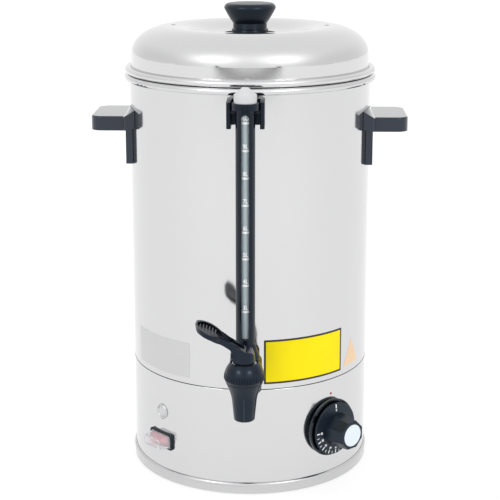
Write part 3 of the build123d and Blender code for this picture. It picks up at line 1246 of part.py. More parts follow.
def make_thermostat_bulb():
    """Bulb in the well and its capillary to the thermostat's case."""
    top = FLOOR_Z + WELL_H - 3.0
    bulb = Pos(WELL_X, WELL_Y, 0) * rod(BULB_R, top - BULB_L, top)
    case = at_azimuth(DIAL_AZ, DIAL_Z) * Pos(0, THERMO_H * 0.3, thermostat_front() - THERMO_D - SLIP)
    away = at_azimuth(DIAL_AZ, DIAL_Z) * Pos(0, THERMO_H * 0.3, thermostat_front() - THERMO_D - 16)
    end = case.position
    bend = away.position
    route = [
        (WELL_X, WELL_Y, top - BULB_L + 1), (WELL_X, WELL_Y, FLOOR_Z - 23),
        (WELL_X + 48, WELL_Y - 16, FLOOR_Z - 33),
        (bend.X - 14, bend.Y + 16, bend.Z + 12), tuple(bend), tuple(end),
    ]
    capillary = tube_along(route, CAPILLARY_R, [8, 12, 10, 6])
    return bulb + capillary


def make_limiter_bulb():
    """Overheat bulb clipped flat under the floor, and its capillary to the limiter."""
    z = FLOOR_Z - SHEET - LIMIT_BULB_R - FIT
    mid_y = LIMIT_BULB_Y
    bulb = Pos(-LIMIT_BULB_L / 2, mid_y, z) * Rot(0, 90, 0) * rod(LIMIT_BULB_R, 0, LIMIT_BULB_L)
    top = PLATE_Z + SHEET + FIT + LIMIT_H
    route = [
        (-LIMIT_BULB_L / 2 + 1, mid_y, z), (-LIMIT_BULB_L / 2 - 16, mid_y, z),
        (-LIMIT_BULB_L / 2 - 26, mid_y, z - 22),
        (LIMIT_X, LIMIT_Y - 4, top + 18), (LIMIT_X, LIMIT_Y - 4, top + SLIP),
    ]
    return bulb + tube_along(route, CAPILLARY_R, [7, 9, 7])


def make_bulb_clip():
    """Spring clip spot-welded under the floor, round the limiter's bulb."""
    r = LIMIT_BULB_R + SLIP
    rise = LIMIT_BULB_R + FIT
    below = Pos(0, -r) * Rectangle(4 * r, 2 * r)
    section = (Circle(r + CLIP_T) - Circle(r)) & below
    for side in (-1, 1):
        section += Pos(side * (r + CLIP_T / 2), rise / 2) * Rectangle(CLIP_T, rise)
        section += Pos(side * (r + 4.0), rise - CLIP_T / 2) * Rectangle(8.0, CLIP_T)
    centre = FLOOR_Z - SHEET - rise
    return Pos(0, LIMIT_BULB_Y, centre) * extrude(Plane.YZ * section, CLIP_W / 2, both=True)


# ================================================================ parts on the bottom plate
def make_limiter_body():
    """Overheat limiter: case on the plate and a threaded bush down through it."""
    low = PLATE_Z + SHEET + FIT
    case = Pos(0, 0, low) * Box(LIMIT_W, LIMIT_W * 0.8, LIMIT_H, align=(Align.CENTER, Align.CENTER, Align.MIN))
    case = chamfer(case.edges().filter_by(Axis.Z), 2.5)
    case += rod(LIMIT_BUSH_R, PLATE_Z - LIMIT_NUT_T - 0.8, low)
    case -= rod(BUTTON_R + FIT, PLATE_Z - 10, PLATE_Z - LIMIT_NUT_T + BUTTON_L + BUTTON_TRAVEL + 1)
    return Pos(LIMIT_X, LIMIT_Y, 0) * case


def make_limiter_nut():
    nut = hex_nut(LIMIT_NUT_AF, LIMIT_BUSH_R + FIT, PLATE_Z - FIT - LIMIT_NUT_T, PLATE_Z - FIT)
    return Pos(LIMIT_X, LIMIT_Y, 0) * nut


def make_reset_button():
    low = PLATE_Z - LIMIT_NUT_T - 1.6
    button = fillet(rod(BUTTON_R, low, low + BUTTON_L).edges().group_by(Axis.Z)[0], 0.6)
    return Pos(LIMIT_X, LIMIT_Y, 0) * button


def make_terminal_block():
    low = PLATE_Z + SHEET + FIT
    block = Pos(0, 0, low) * Box(TERM_W, TERM_D, TERM_H, align=(Align.CENTER, Align.CENTER, Align.MIN))
    pitch = TERM_W / TERM_POLES
    for i in range(TERM_POLES):
        x = (i - (TERM_POLES - 1) / 2) * pitch
        block -= Pos(x, 0, low + TERM_H * 0.45) * Rot(90, 0, 0) * Cylinder(TERM_BORE, TERM_D)
        for y in (-TERM_D / 4, TERM_D / 4):
            block -= Pos(x, y, 0) * rod(TERM_BORE * 0.8, low + TERM_H * 0.45, low + TERM_H + 1)
        if i:
            block -= Pos(x - pitch / 2, 0, low + TERM_H) * Box(1.6, TERM_D, 5.0)
    return Pos(BLOCK_X, BLOCK_Y, 0) * block


# ================================================================ cable gland
def make_cable_gland():
    """Gland body: flats outside, threaded tail through the wall, one bore for the lead."""
    seat = SEAT_GAP + 0.6
    body = rod(GLAND_R, -GLAND_TAIL, seat)
    body += Pos(0, 0, seat) * extrude(RegularPolygon(GLAND_AF / 2, 6, major_radius=False), GLAND_FLANGE_T)
    body += rod(GLAND_NOSE_R, seat + GLAND_FLANGE_T, seat + GLAND_FLANGE_T + GLAND_NOSE)
    body -= rod(GLAND_BORE, -GLAND_TAIL - 1, seat + GLAND_FLANGE_T + GLAND_NOSE + 1)
    return at_azimuth(GLAND_AZ, GLAND_Z) * body


def make_gland_cap():
    """Domed clamping nut over the gland's nose."""
    low = SEAT_GAP + 0.6 + GLAND_FLANGE_T + SLIP
    top = low + DOME_NUT_L
    bore = GLAND_NOSE_R + FIT
    outline = Polyline((bore, low), (DOME_NUT_R, low), (DOME_NUT_R, low + DOME_NUT_L * 0.45))
    dome = ThreePointArc(
        (DOME_NUT_R, low + DOME_NUT_L * 0.45), (DOME_NUT_R - 1.4, top - 2.4), (GLAND_BORE + 1.6, top))
    mouth = GLAND_BORE + 0.6
    inner = Polyline((GLAND_BORE + 1.6, top), (mouth, top), (mouth, top - 0.8), (bore, top - 0.8), (bore, low))
    cap = turned(*outline.edges(), dome, *inner.edges())
    flute = rod(1.0, low + 1, top - 4)
    for place in PolarLocations(DOME_NUT_R + 0.4, 12):
        cap -= place * flute
    return at_azimuth(GLAND_AZ, GLAND_Z) * cap


def make_gland_nut():
    face = math.sqrt(WALL_IN ** 2 - (GLAND_NUT_AF / 2 + 1.6) ** 2) - BODY_R - FIT
    return at_azimuth(GLAND_AZ, GLAND_Z) * hex_nut(GLAND_NUT_AF, GLAND_R + FIT, face - GLAND_NUT_T, face)


def make_gland_seal():
    seat = SEAT_GAP + 0.6
    ring = at_azimuth(GLAND_AZ, GLAND_Z) * tube(GLAND_AF / 2 - 0.4, GLAND_R + SLIP, -3, seat - FIT)
    return ring - wall_cylinder(WALL_FACE)


NODES = {
    "tank": make_tank,
    "tank_floor": make_tank_floor,
    "base_housing": make_base_housing,
    "base_ring": make_base_ring,
    "bottom_plate": make_bottom_plate,
    "base_screws": make_base_screws,
    "feet": make_feet,
    "panel_nuts": make_panel_nuts,
    "gaskets": make_gaskets,
    "lid_shell": make_lid_shell,
    "lid_skirt": make_lid_skirt,
    "knob_washer": make_knob_washer,
    "lid_knob": make_lid_knob,
    "lid_screw": make_lid_screw,
    "handle_left": make_handle_left,
    "handle_right": make_handle_right,
    "handle_screws": make_handle_screws,
    "tap_body": make_tap_body,
    "tap_bonnet": make_tap_bonnet,
    "cam_washer": make_cam_washer,
    "tap_stem": make_tap_stem,
    "seat_cup": make_seat_cup,
    "tap_spring": make_tap_spring,
    "tap_lever": make_tap_lever,
    "lever_pin": make_lever_pin,
    "gauge_block": make_gauge_block,
    "shank_nut": make_shank_nut,
    "gauge_cone": make_gauge_cone,
    "gauge_seals": make_gauge_seals,
    "gauge_glass": make_gauge_glass,
    "gauge_shroud": make_gauge_shroud,
    "gauge_collar": make_gauge_collar,
    "gauge_cap": make_gauge_cap,
    "gauge_bracket": make_gauge_bracket,
    "bracket_screws": make_bracket_screws,
    "dial_bezel": make_dial_bezel,
    "dial_knob": make_dial_knob,
    "dial_face_cap": make_dial_face_cap,
    "thermostat_shaft": make_thermostat_shaft,
    "thermostat_body": make_thermostat_body,
    "thermostat_screws": make_thermostat_screws,
    "thermostat_bulb": make_thermostat_bulb,
    "switch_frame": make_switch_frame,
    "switch_rocker": make_switch_rocker,
    "switch_boot": make_switch_boot,
    "lamp_bezel": make_lamp_bezel,
    "lamp_lens": make_lamp_lens,
    "lamp_body": make_lamp_body,
    "blade_terminals": make_blade_terminals,
    "heating_element": make_heating_element,
    "element_fittings": make_element_fittings,
    "element_nuts": make_element_nuts,
    "thermowell": make_thermowell,
    "limiter_bulb": make_limiter_bulb,
    "limiter_body": make_limiter_body,
    "reset_button": make_reset_button,
    "terminal_block": make_terminal_block,
    "cable_gland": make_cable_gland,
    "gland_cap": make_gland_cap,
    "gland_nut": make_gland_nut,
}


def main():
    os.makedirs("parts", exist_ok=True)
    for name, make in NODES.items():
        shape = make()
        export_step(shape, os.path.join("parts", name + ".step"))
        print(name, round(shape.volume, 1))


main()
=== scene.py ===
# %% [markdown]
# # Dressing a hot water urn
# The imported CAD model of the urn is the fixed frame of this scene. Every solid is already in its
# place and to size, in metres, so this script gives it finishes, adds the small printed marks and
# lights it. The frame's objects are never moved or reshaped.
# %% Load the frame
import json
import math

import bmesh
import bpy
from mathutils import Matrix, Vector
from mathutils.bvhtree import BVHTree


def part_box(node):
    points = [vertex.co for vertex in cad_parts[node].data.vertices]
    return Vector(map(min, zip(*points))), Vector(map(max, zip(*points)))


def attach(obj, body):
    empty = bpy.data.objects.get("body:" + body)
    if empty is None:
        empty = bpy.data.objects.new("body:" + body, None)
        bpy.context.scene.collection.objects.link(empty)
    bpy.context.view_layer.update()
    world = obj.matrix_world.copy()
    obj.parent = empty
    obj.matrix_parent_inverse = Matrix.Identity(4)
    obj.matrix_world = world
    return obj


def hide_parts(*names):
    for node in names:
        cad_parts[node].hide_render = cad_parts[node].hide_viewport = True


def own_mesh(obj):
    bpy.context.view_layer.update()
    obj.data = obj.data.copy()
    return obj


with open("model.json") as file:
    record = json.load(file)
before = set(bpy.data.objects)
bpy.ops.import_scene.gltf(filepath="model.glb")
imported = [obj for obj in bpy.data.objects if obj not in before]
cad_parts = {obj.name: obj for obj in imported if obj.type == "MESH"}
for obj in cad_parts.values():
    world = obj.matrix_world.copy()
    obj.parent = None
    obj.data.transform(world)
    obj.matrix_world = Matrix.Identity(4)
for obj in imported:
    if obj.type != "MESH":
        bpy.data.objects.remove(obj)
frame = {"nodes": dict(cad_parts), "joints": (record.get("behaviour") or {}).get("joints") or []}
nodes = frame["nodes"]
joints = {joint["name"]: joint for joint in frame["joints"]}
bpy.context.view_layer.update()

# %% [markdown]
# ## The camera
# A tall drum is best shown from a little above its lid with a long lens, so that the sides stay
# nearly upright. A small downward shift keeps the base in the frame without tilting the camera
# further, because more tilt would make the sides lean.
# %% Camera
VIEW_TURN = math.radians(1.65)     # the camera stands this far round towards the dial
VIEW_TILT = math.radians(13.14)
VIEW_DISTANCE = 1.2835
VIEW_HEIGHT = 0.5519
SENSOR = 36                        # width in millimetres, as the lens is
LENS = 96.8
VIEW_SHIFT = -0.09                 # a share of the frame's width


def add_object(name, data):
    """A new object at the origin, linked to the scene."""
    made = bpy.data.objects.new(name, data)
    bpy.context.scene.collection.objects.link(made)
    return made


camera_data = bpy.data.cameras.new("studio_camera")
camera_data.sensor_width = SENSOR
camera_data.lens = LENS
camera_data.shift_y = VIEW_SHIFT
camera = add_object("studio_camera", camera_data)
camera.location = (VIEW_DISTANCE * math.sin(VIEW_TURN), -VIEW_DISTANCE * math.cos(VIEW_TURN), VIEW_HEIGHT)
camera.rotation_euler = (math.pi / 2 - VIEW_TILT, 0, VIEW_TURN)
bpy.context.scene.camera = camera
print("lens", LENS, "mm at", tuple(round(v, 3) for v in camera.location))

# %% [markdown]
# ## Sums in shader trees
# The light and most finishes need small sums made of nodes. One helper adds a Math node with its
# inputs, and the other makes a soft step from 0 to 1, so that the trees below read like formulas.
# %% Helpers for sums
def maths(tree, operation, first, second=None, third=None):
    """A Math node. A number sets its socket, and a socket is linked to it."""
    node = tree.nodes.new("ShaderNodeMath")
    node.operation = operation
    for socket, value in zip(node.inputs, (first, second, third)):
        if value is None:
            continue
        if isinstance(value, (int, float)):
            socket.default_value = value
        else:
            tree.links.new(value, socket)
    return node.outputs[0]


def smooth_step(tree, value, low, high):
    """0 below low, 1 above high, with soft ends."""
    node = tree.nodes.new("ShaderNodeMapRange")
    node.interpolation_type = "SMOOTHSTEP"
    tree.links.new(value, node.inputs["Value"])
    node.inputs["From Min"].default_value = low
    node.inputs["From Max"].default_value = high
    return node.outputs["Result"]


print("helpers: maths, smooth_step")

# %% [markdown]
# ## A white tent
# Polished steel shows the room more than its own colour. The room is a white tent, a little dimmer
# at its sides, so the drum stays an even light grey. Two wide soft glows lie on the cloth in front,
# as if a lamp stood behind it on each side. Neither the shade nor the glows are in what the camera
# sees directly, so the wall behind the urn stays plain white.
# %% The tent
SIDE_SHADE = 0.13                  # how much dimmer the tent's sides are than its front
SIDE_FROM, SIDE_FULL = 0.45, 0.95  # the shade grows between these sideways directions
ROOF_FROM, ROOF_FULL = 0.25, 0.80  # and fades between these upward ones
GLOW_TURN = math.radians(36)       # each glow's direction from straight in front
GLOW_RISE = math.radians(30)
GLOW_WIDTH = math.radians(15)
GLOW = 0.85                        # extra brightness in the middle of a glow

world = bpy.data.worlds.new("white_tent")
bpy.context.scene.world = world
world.use_nodes = True
tent = world.node_tree
direction = tent.nodes.new("ShaderNodeTexCoord").outputs["Generated"]
split = tent.nodes.new("ShaderNodeSeparateXYZ")
tent.links.new(direction, split.inputs[0])
sideways = smooth_step(tent, maths(tent, "ABSOLUTE", split.outputs["X"]), SIDE_FROM, SIDE_FULL)
walls = maths(tent, "SUBTRACT", 1.0, smooth_step(tent, split.outputs["Z"], ROOF_FROM, ROOF_FULL))
shade = maths(tent, "MULTIPLY", maths(tent, "MULTIPLY", sideways, walls), SIDE_SHADE)
level = maths(tent, "SUBTRACT", 1.0, shade)
for side in (-1, 1):
    toward = tent.nodes.new("ShaderNodeVectorMath")
    toward.operation = "DOT_PRODUCT"
    tent.links.new(direction, toward.inputs[0])
    toward.inputs[1].default_value = (side * math.sin(GLOW_TURN) * math.cos(GLOW_RISE),
                                      -math.cos(GLOW_TURN) * math.cos(GLOW_RISE), math.sin(GLOW_RISE))
    # 1 less the cosine is half the squared angle, so this is a bell curve over the angle
    fall = maths(tent, "DIVIDE", maths(tent, "SUBTRACT", toward.outputs["Value"], 1.0), GLOW_WIDTH ** 2)
    level = maths(tent, "MULTIPLY_ADD", maths(tent, "EXPONENT", fall), GLOW, level)
seen = tent.nodes.new("ShaderNodeLightPath").outputs["Is Camera Ray"]
extra = maths(tent, "MULTIPLY", maths(tent, "SUBTRACT", level, 1.0), maths(tent, "SUBTRACT", 1.0, seen))
tent.links.new(maths(tent, "ADD", extra, 1.0), tent.nodes["Background"].inputs["Color"])
print("tent sides at", 1 - SIDE_SHADE, "with glows of", 1 + GLOW)

# %% [markdown]
# ## The floor
# The urn stands on a wide pale floor. It gives off a little light of its own, so that it looks as
# white as the tent and the urn's shadow on it stays faint.
# %% Floor
FLOOR_HALF = 9
FLOOR_GREY = 0.35
FLOOR_ROUGH = 0.7
FLOOR_GLOW = 0.66


def plain_material(name, colour, roughness, metallic=0.0):
    """A new material, its tree and its Principled shader, with the shader's own sockets set."""
    material = bpy.data.materials.new(name)
    material.use_nodes = True
    shader = material.node_tree.nodes["Principled BSDF"]
    shader.inputs["Base Color"].default_value = (*colour, 1)
    shader.inputs["Roughness"].default_value = roughness
    shader.inputs["Metallic"].default_value = metallic
    return material, material.node_tree, shader


floor_white, _, floor_shader = plain_material("pale_floor", (FLOOR_GREY,) * 3, FLOOR_ROUGH)
floor_shader.inputs["Emission Color"].default_value = (1, 1, 1, 1)
floor_shader.inputs["Emission Strength"].default_value = FLOOR_GLOW
floor_corners = [(x * FLOOR_HALF, y * FLOOR_HALF, 0) for x, y in ((-1, -1), (1, -1), (1, 1), (-1, 1))]
floor_mesh = bpy.data.meshes.new("studio_floor")
floor_mesh.from_pydata(floor_corners, [], [(0, 1, 2, 3)])
floor_mesh.materials.append(floor_white)
floor = add_object("studio_floor", floor_mesh)
print("floor", 2 * FLOOR_HALF, "m wide")

# %% [markdown]
# ## Two soft lamps
# A softbox stands on each side in front, aimed at the middle of the urn. They give the black
# mouldings their highlights, and each is the small bright heart of one of the tent's glows.
# %% Lamps
LAMP_PLACE = (1.05, -1.44, 1.33)   # the right one; the left one mirrors it
LAMP_SIZE = (0.62, 0.34)
LAMP_LEVEL = 5.0                   # brightness of its face, where a white wall is 1
LAMP_AIM = Vector((0, 0, 0.30))


def soft_lamp(name, side):
    """A large lamp that looks at the urn, on the left for side -1 and on the right for 1."""
    data = bpy.data.lights.new(name, "AREA")
    data.shape = "RECTANGLE"
    data.size, data.size_y = LAMP_SIZE
    data.energy = LAMP_LEVEL * math.pi * data.size * data.size_y
    lamp = add_object(name, data)
    lamp.location = (side * LAMP_PLACE[0], *LAMP_PLACE[1:])
    lamp.rotation_euler = (LAMP_AIM - lamp.location).to_track_quat("-Z", "Y").to_euler()
    lamp.visible_camera = False


soft_lamp("left_softbox", -1)
soft_lamp("right_softbox", 1)
bpy.context.scene.view_settings.view_transform = "Standard"
print("2 lamps of", LAMP_SIZE, "m")

# %% [markdown]
# ## A dark drape
# A dark drape hangs low in front of the tent, and the front of the lid shows it as a small smile
# with broad ends. It could be painted into the tent, but a real shape sits right in every
# reflection. The camera never sees it directly, and it casts no shadow.
# %% Drape
DRAPE_Y = -1.0
DRAPE_HALF = 0.60                  # half the drape's width
DRAPE_STEPS = 24
DRAPE_LOW = 0.25                   # height of its lower edge in the middle
DRAPE_SAG = 0.03                   # its ends hang this much higher
BAND_DEEP = 0.03
LOBE_DEEP = 0.13                   # extra depth in the middle of a lobe
LOBE_FROM = 0.70                   # a lobe begins at this share of the half width
LOBE_LEAN = 1.3                    # above 1, the lobe leans outward


def drape_edges(x):
    """Lower and upper edge at x: a thin sagging band with a broad lobe near each end."""
    out = abs(x) / DRAPE_HALF
    low_edge = DRAPE_LOW + DRAPE_SAG * out ** 2
    along = min(1.0, max(0.0, (out - LOBE_FROM) / (1 - LOBE_FROM)))
    lobe = max(0.0, math.sin(math.pi * along ** LOBE_LEAN))
    return low_edge, low_edge + BAND_DEEP + LOBE_DEEP * lobe


columns = [DRAPE_HALF * (2 * k / DRAPE_STEPS - 1) for k in range(DRAPE_STEPS + 1)]
hem = [(x, DRAPE_Y, drape_edges(x)[0]) for x in columns]
rail = [(x, DRAPE_Y, drape_edges(x)[1]) for x in columns]
strips = [(k, k + 1, len(hem) + k + 1, len(hem) + k) for k in range(DRAPE_STEPS)]
drape_mesh = bpy.data.meshes.new("dark_drape")
drape_mesh.from_pydata(hem + rail, [], strips)
drape_mesh.materials.append(plain_material("drape_cloth", (0.01, 0.01, 0.012), 0.9)[0])
drape = add_object("dark_drape", drape_mesh)
drape.visible_camera = False
drape.visible_shadow = False
print("drape", 2 * DRAPE_HALF, "m wide")

# %% [markdown]
# ## Surface effects as groups
# Several finishes share two effects, so each effect is a node group with named inputs, and one
# material can have more of it than the next. These helpers make an empty group and the noise that
# fills it. The noise reads coordinates that are fixed to the object, so it doesn't slide.
# %% Helpers for groups
NOISE_MIDDLE = 0.5                 # a noise wanders round this value


def new_group(name, inputs, outputs):
    """An empty shader group with float inputs {name: default} and float outputs."""
    group = bpy.data.node_groups.new(name, "ShaderNodeTree")
    for label, default in inputs.items():
        socket = group.interface.new_socket(label, in_out="INPUT", socket_type="NodeSocketFloat")
        socket.default_value = default
    for label in outputs:
        group.interface.new_socket(label, in_out="OUTPUT", socket_type="NodeSocketFloat")
    return group, group.nodes.new("NodeGroupInput"), group.nodes.new("NodeGroupOutput")


def object_place(tree):
    """Coordinates that are fixed to the object."""
    return tree.nodes.new("ShaderNodeTexCoord").outputs["Object"]


def noise(tree, vector, scale, detail):
    """Cloudy noise from 0 to 1. The scale is a number or a socket."""
    node = tree.nodes.new("ShaderNodeTexNoise")
    tree.links.new(vector, node.inputs["Vector"])
    if isinstance(scale, float):
        node.inputs["Scale"].default_value = scale
    else:
        tree.links.new(scale, node.inputs["Scale"])
    node.inputs["Detail"].default_value = detail
    return node.outputs["Fac"]


def wander(tree, value, amount):
    """How far a noise is from its middle, times an amount."""
    return maths(tree, "MULTIPLY", maths(tree, "SUBTRACT", value, NOISE_MIDDLE), amount)


print("helpers: new_group, object_place, noise, wander")

# %% [markdown]
# ## Grain of rolled sheet
# Rolling and polishing leave fine streaks in sheet steel, and these run round a drum. The noise is
# therefore read in coordinates that are unrolled round the Z axis, where a step along the drum
# counts for much more than one round it, so each speck is drawn out into a streak. A broad soft
# noise is added, because no sheet is equally bright all over.
# %% Sheet grain
AROUND, ALONG = 2.0, 2600.0        # how fast the streaks change round the drum, and along it
STREAK_DETAIL = 3.0
CLOUD_SCALE, CLOUD_DETAIL = 9.0, 2.0


def unrolled(tree):
    """Object coordinates unrolled round the Z axis: turn, distance from the axis, and height."""
    part = tree.nodes.new("ShaderNodeSeparateXYZ")
    tree.links.new(object_place(tree), part.inputs[0])
    turn = maths(tree, "ARCTAN2", part.outputs["X"], part.outputs["Y"])
    square_x = maths(tree, "POWER", part.outputs["X"], 2.0)
    square_y = maths(tree, "POWER", part.outputs["Y"], 2.0)
    radius = maths(tree, "SQRT", maths(tree, "ADD", square_x, square_y))
    joined = tree.nodes.new("ShaderNodeCombineXYZ")
    tree.links.new(maths(tree, "MULTIPLY", turn, AROUND), joined.inputs["X"])
    tree.links.new(maths(tree, "MULTIPLY", radius, ALONG), joined.inputs["Y"])
    tree.links.new(maths(tree, "MULTIPLY", part.outputs["Z"], ALONG), joined.inputs["Z"])
    return joined.outputs[0]


sheet_grain, grain_in, grain_out = new_group(
    "sheet_grain", {"Roughness": 0.25, "Streaks": 0.04, "Clouding": 0.05}, ("Roughness", "Height", "Mask"))
streak = noise(sheet_grain, unrolled(sheet_grain), 1.0, STREAK_DETAIL)
cloud = noise(sheet_grain, object_place(sheet_grain), CLOUD_SCALE, CLOUD_DETAIL)
uneven = maths(sheet_grain, "ADD", wander(sheet_grain, streak, grain_in.outputs["Streaks"]),
               wander(sheet_grain, cloud, grain_in.outputs["Clouding"]))
total = maths(sheet_grain, "ADD", grain_in.outputs["Roughness"], uneven)
sheet_grain.links.new(total, grain_out.inputs["Roughness"])
sheet_grain.links.new(streak, grain_out.inputs["Height"])
sheet_grain.links.new(maths(sheet_grain, "MULTIPLY", streak, cloud), grain_out.inputs["Mask"])
print("group", sheet_grain.name)

# %% [markdown]
# ## Texture of a moulding tool
# A moulding copies the fine pimples of its steel tool, and its gloss changes slowly from place to
# place. The pimples only tilt the shading, because they are far too small to be worth a mesh. Their
# scale is an input, so that rubber can have a finer texture than a glossy bezel.
# %% Tool texture
PIMPLE_DETAIL = 3.0
BROAD_SCALE, BROAD_DETAIL = 25.0, 2.0
MASK_FROM, MASK_FULL = 0.35, 0.75

tool_texture, tool_in, tool_out = new_group(
    "tool_texture", {"Roughness": 0.4, "Variation": 0.1, "Size": 900.0}, ("Roughness", "Height", "Mask"))
tool_place = object_place(tool_texture)
pimple = noise(tool_texture, tool_place, tool_in.outputs["Size"], PIMPLE_DETAIL)
broad = noise(tool_texture, tool_place, BROAD_SCALE, BROAD_DETAIL)
gloss = wander(tool_texture, broad, tool_in.outputs["Variation"])
gloss = maths(tool_texture, "ADD", tool_in.outputs["Roughness"], gloss)
tool_texture.links.new(gloss, tool_out.inputs["Roughness"])
tool_texture.links.new(pimple, tool_out.inputs["Height"])
tool_texture.links.new(smooth_step(tool_texture, broad, MASK_FROM, MASK_FULL), tool_out.inputs["Mask"])
print("group", tool_texture.name)

# %% [markdown]
# ## From a group to a shader
# A finish is a Principled shader. Its constants are set on its own sockets, and only the roughness,
# the bump and the slight change of tone come from a group. These helpers make those links.
# %% Helpers for finishes
MIX_SHARE, MIX_FIRST, MIX_SECOND, MIX_RESULT = 0, 6, 7, 2      # a Mix node's sockets for colour


def grouped(tree, group, values):
    """Put a group into a material's tree and set its inputs."""
    node = tree.nodes.new("ShaderNodeGroup")
    node.node_tree = group
    for label, value in values.items():
        node.inputs[label].default_value = value
    return node


def bump(tree, shader, height, strength, distance):
    """Tilt the shading by a height map."""
    node = tree.nodes.new("ShaderNodeBump")
    node.inputs["Strength"].default_value = strength
    node.inputs["Distance"].default_value = distance
    tree.links.new(height, node.inputs["Height"])
    tree.links.new(node.outputs["Normal"], shader.inputs["Normal"])


def two_tones(tree, shader, mask, colour, share):
    """Base colour that wanders between the given colour and a share of it."""
    mix = tree.nodes.new("ShaderNodeMix")
    mix.data_type = "RGBA"
    mix.inputs[MIX_FIRST].default_value = (*colour, 1)
    mix.inputs[MIX_SECOND].default_value = (*(part * share for part in colour), 1)
    tree.links.new(mask, mix.inputs[MIX_SHARE])
    tree.links.new(mix.outputs[MIX_RESULT], shader.inputs["Base Color"])


print("helpers: grouped, bump, two_tones")

# %% [markdown]
# ## Metals
# The drum and the lid are satin stainless steel. The sheets inside are duller, the screws and rings
# are turned or plated, the heating element's sheath is darkened by heat, and the fittings are brass
# and copper. They are all one recipe with other numbers.
# %% Metal finishes
GRAIN_DEPTH = 0.00001
METAL_SHARE = 0.955                # the darker tone's share of the colour


def metal(name, colour, roughness, streaks, clouding, depth=0.15):
    """Metal with its grain running round the drum."""
    material, tree, shader = plain_material(name, colour, roughness, 1.0)
    grain = grouped(tree, sheet_grain, {"Roughness": roughness, "Streaks": streaks, "Clouding": clouding})
    two_tones(tree, shader, grain.outputs["Mask"], colour, METAL_SHARE)
    tree.links.new(grain.outputs["Roughness"], shader.inputs["Roughness"])
    bump(tree, shader, grain.outputs["Height"], depth, GRAIN_DEPTH)
    return material


# name, colour, roughness, streaks, clouding, strength of the grain's bump
satin_steel = metal("satin_steel", (0.665, 0.665, 0.672), 0.11, 0.03, 0.03)
bright_steel = metal("bright_steel", (0.68, 0.68, 0.686), 0.11, 0.03, 0.03, 0.06)
ring_steel = metal("ring_steel", (0.60, 0.60, 0.607), 0.2, 0.05, 0.04)
inner_steel = metal("inner_steel", (0.58, 0.58, 0.575), 0.32, 0.08, 0.06)
screw_steel = metal("screw_steel", (0.62, 0.62, 0.62), 0.28, 0.05, 0.05)
spring_wire = metal("spring_wire", (0.55, 0.55, 0.56), 0.25, 0.02, 0.02)
nickel_ring = metal("nickel_ring", (0.60, 0.60, 0.605), 0.16, 0.02, 0.03)
sheath_steel = metal("sheath_steel", (0.34, 0.33, 0.33), 0.42, 0.04, 0.22)
yellow_brass = metal("yellow_brass", (0.72, 0.55, 0.26), 0.33, 0.05, 0.08)
drawn_copper = metal("drawn_copper", (0.74, 0.43, 0.29), 0.3, 0.05, 0.08)
print("metals: 4 sheets, screws, wire, ring, sheath, brass and copper")

# %% [markdown]
# ## The drum's dull inside
# The drum is one sheet, polished outside and left dull inside, where it shows the light that falls
# in from the top. Its solid has one material, so the finish changes with the distance from the Z
# axis instead. The change lies within the sheet's own thickness, where it can't be seen.
# %% Duller inside the drum
INNER_WALL, OUTER_WALL = 0.1143, 0.1148
INSIDE_METAL = 0.3                 # how metallic the inside is

drum_tree = satin_steel.node_tree
flat = drum_tree.nodes.new("ShaderNodeVectorMath")
flat.operation = "MULTIPLY"
flat.inputs[1].default_value = (1, 1, 0)
drum_tree.links.new(object_place(drum_tree), flat.inputs[0])
from_axis = drum_tree.nodes.new("ShaderNodeVectorMath")
from_axis.operation = "LENGTH"
drum_tree.links.new(flat.outputs[0], from_axis.inputs[0])
outside = smooth_step(drum_tree, from_axis.outputs["Value"], INNER_WALL, OUTER_WALL)
metallic = maths(drum_tree, "MULTIPLY_ADD", outside, 1 - INSIDE_METAL, INSIDE_METAL)
drum_tree.links.new(metallic, drum_tree.nodes["Principled BSDF"].inputs["Metallic"])
print("inside from radius", INNER_WALL, "inward")

# %% [markdown]
# ## Black mouldings
# The handles, tap, gauge, knob and dial are black plastic, some with a soft sheen and some glossy.
# Black plastic under cool light has a slightly blue sheen, which is set as the tint of the
# reflection. A blue base colour alone would look navy in the light parts.
# %% Black mouldings
COOL = (0.62, 0.80, 1.0)           # tint of a black moulding's sheen
NEUTRAL = (1.0, 1.0, 1.0)
PLASTIC_IOR = 1.5
PIMPLE_DEPTH = 0.00002


def moulded(name, colour, roughness, variation, size, depth, shine, share=0.8, sheen=NEUTRAL):
    """Injection-moulded plastic or rubber with the tool's fine texture."""
    material, tree, shader = plain_material(name, colour, roughness)
    shader.inputs["IOR"].default_value = PLASTIC_IOR
    shader.inputs["Specular IOR Level"].default_value = shine
    shader.inputs["Specular Tint"].default_value = (*sheen, 1)
    texture = grouped(tree, tool_texture, {"Roughness": roughness, "Variation": variation, "Size": size})
    tree.links.new(texture.outputs["Roughness"], shader.inputs["Roughness"])
    two_tones(tree, shader, texture.outputs["Mask"], colour, share)
    bump(tree, shader, texture.outputs["Height"], depth, PIMPLE_DEPTH)
    return material


# name, colour, roughness and its variation, the texture's scale and strength, shine
handle_black = moulded("handle_black", (0.003, 0.008, 0.022), 0.12, 0.05, 700.0, 0.06, 0.12, sheen=COOL)
tap_black = moulded("tap_black", (0.004, 0.005, 0.010), 0.20, 0.06, 1100.0, 0.10, 0.38, sheen=COOL)
shroud_black = moulded("shroud_black", (0.004, 0.005, 0.010), 0.26, 0.06, 1200.0, 0.12, 0.32, sheen=COOL)
block_black = moulded("block_black", (0.006, 0.007, 0.012), 0.32, 0.06, 1200.0, 0.15, 0.28, sheen=COOL)
knob_black = moulded("knob_black", (0.005, 0.007, 0.011), 0.28, 0.08, 900.0, 0.12, 0.38, sheen=COOL)
dial_black = moulded("dial_black", (0.007, 0.011, 0.018), 0.28, 0.05, 1300.0, 0.15, 0.38, sheen=COOL)
gloss_black = moulded("gloss_black", (0.002, 0.003, 0.005), 0.06, 0.02, 600.0, 0.02, 0.45, sheen=COOL)
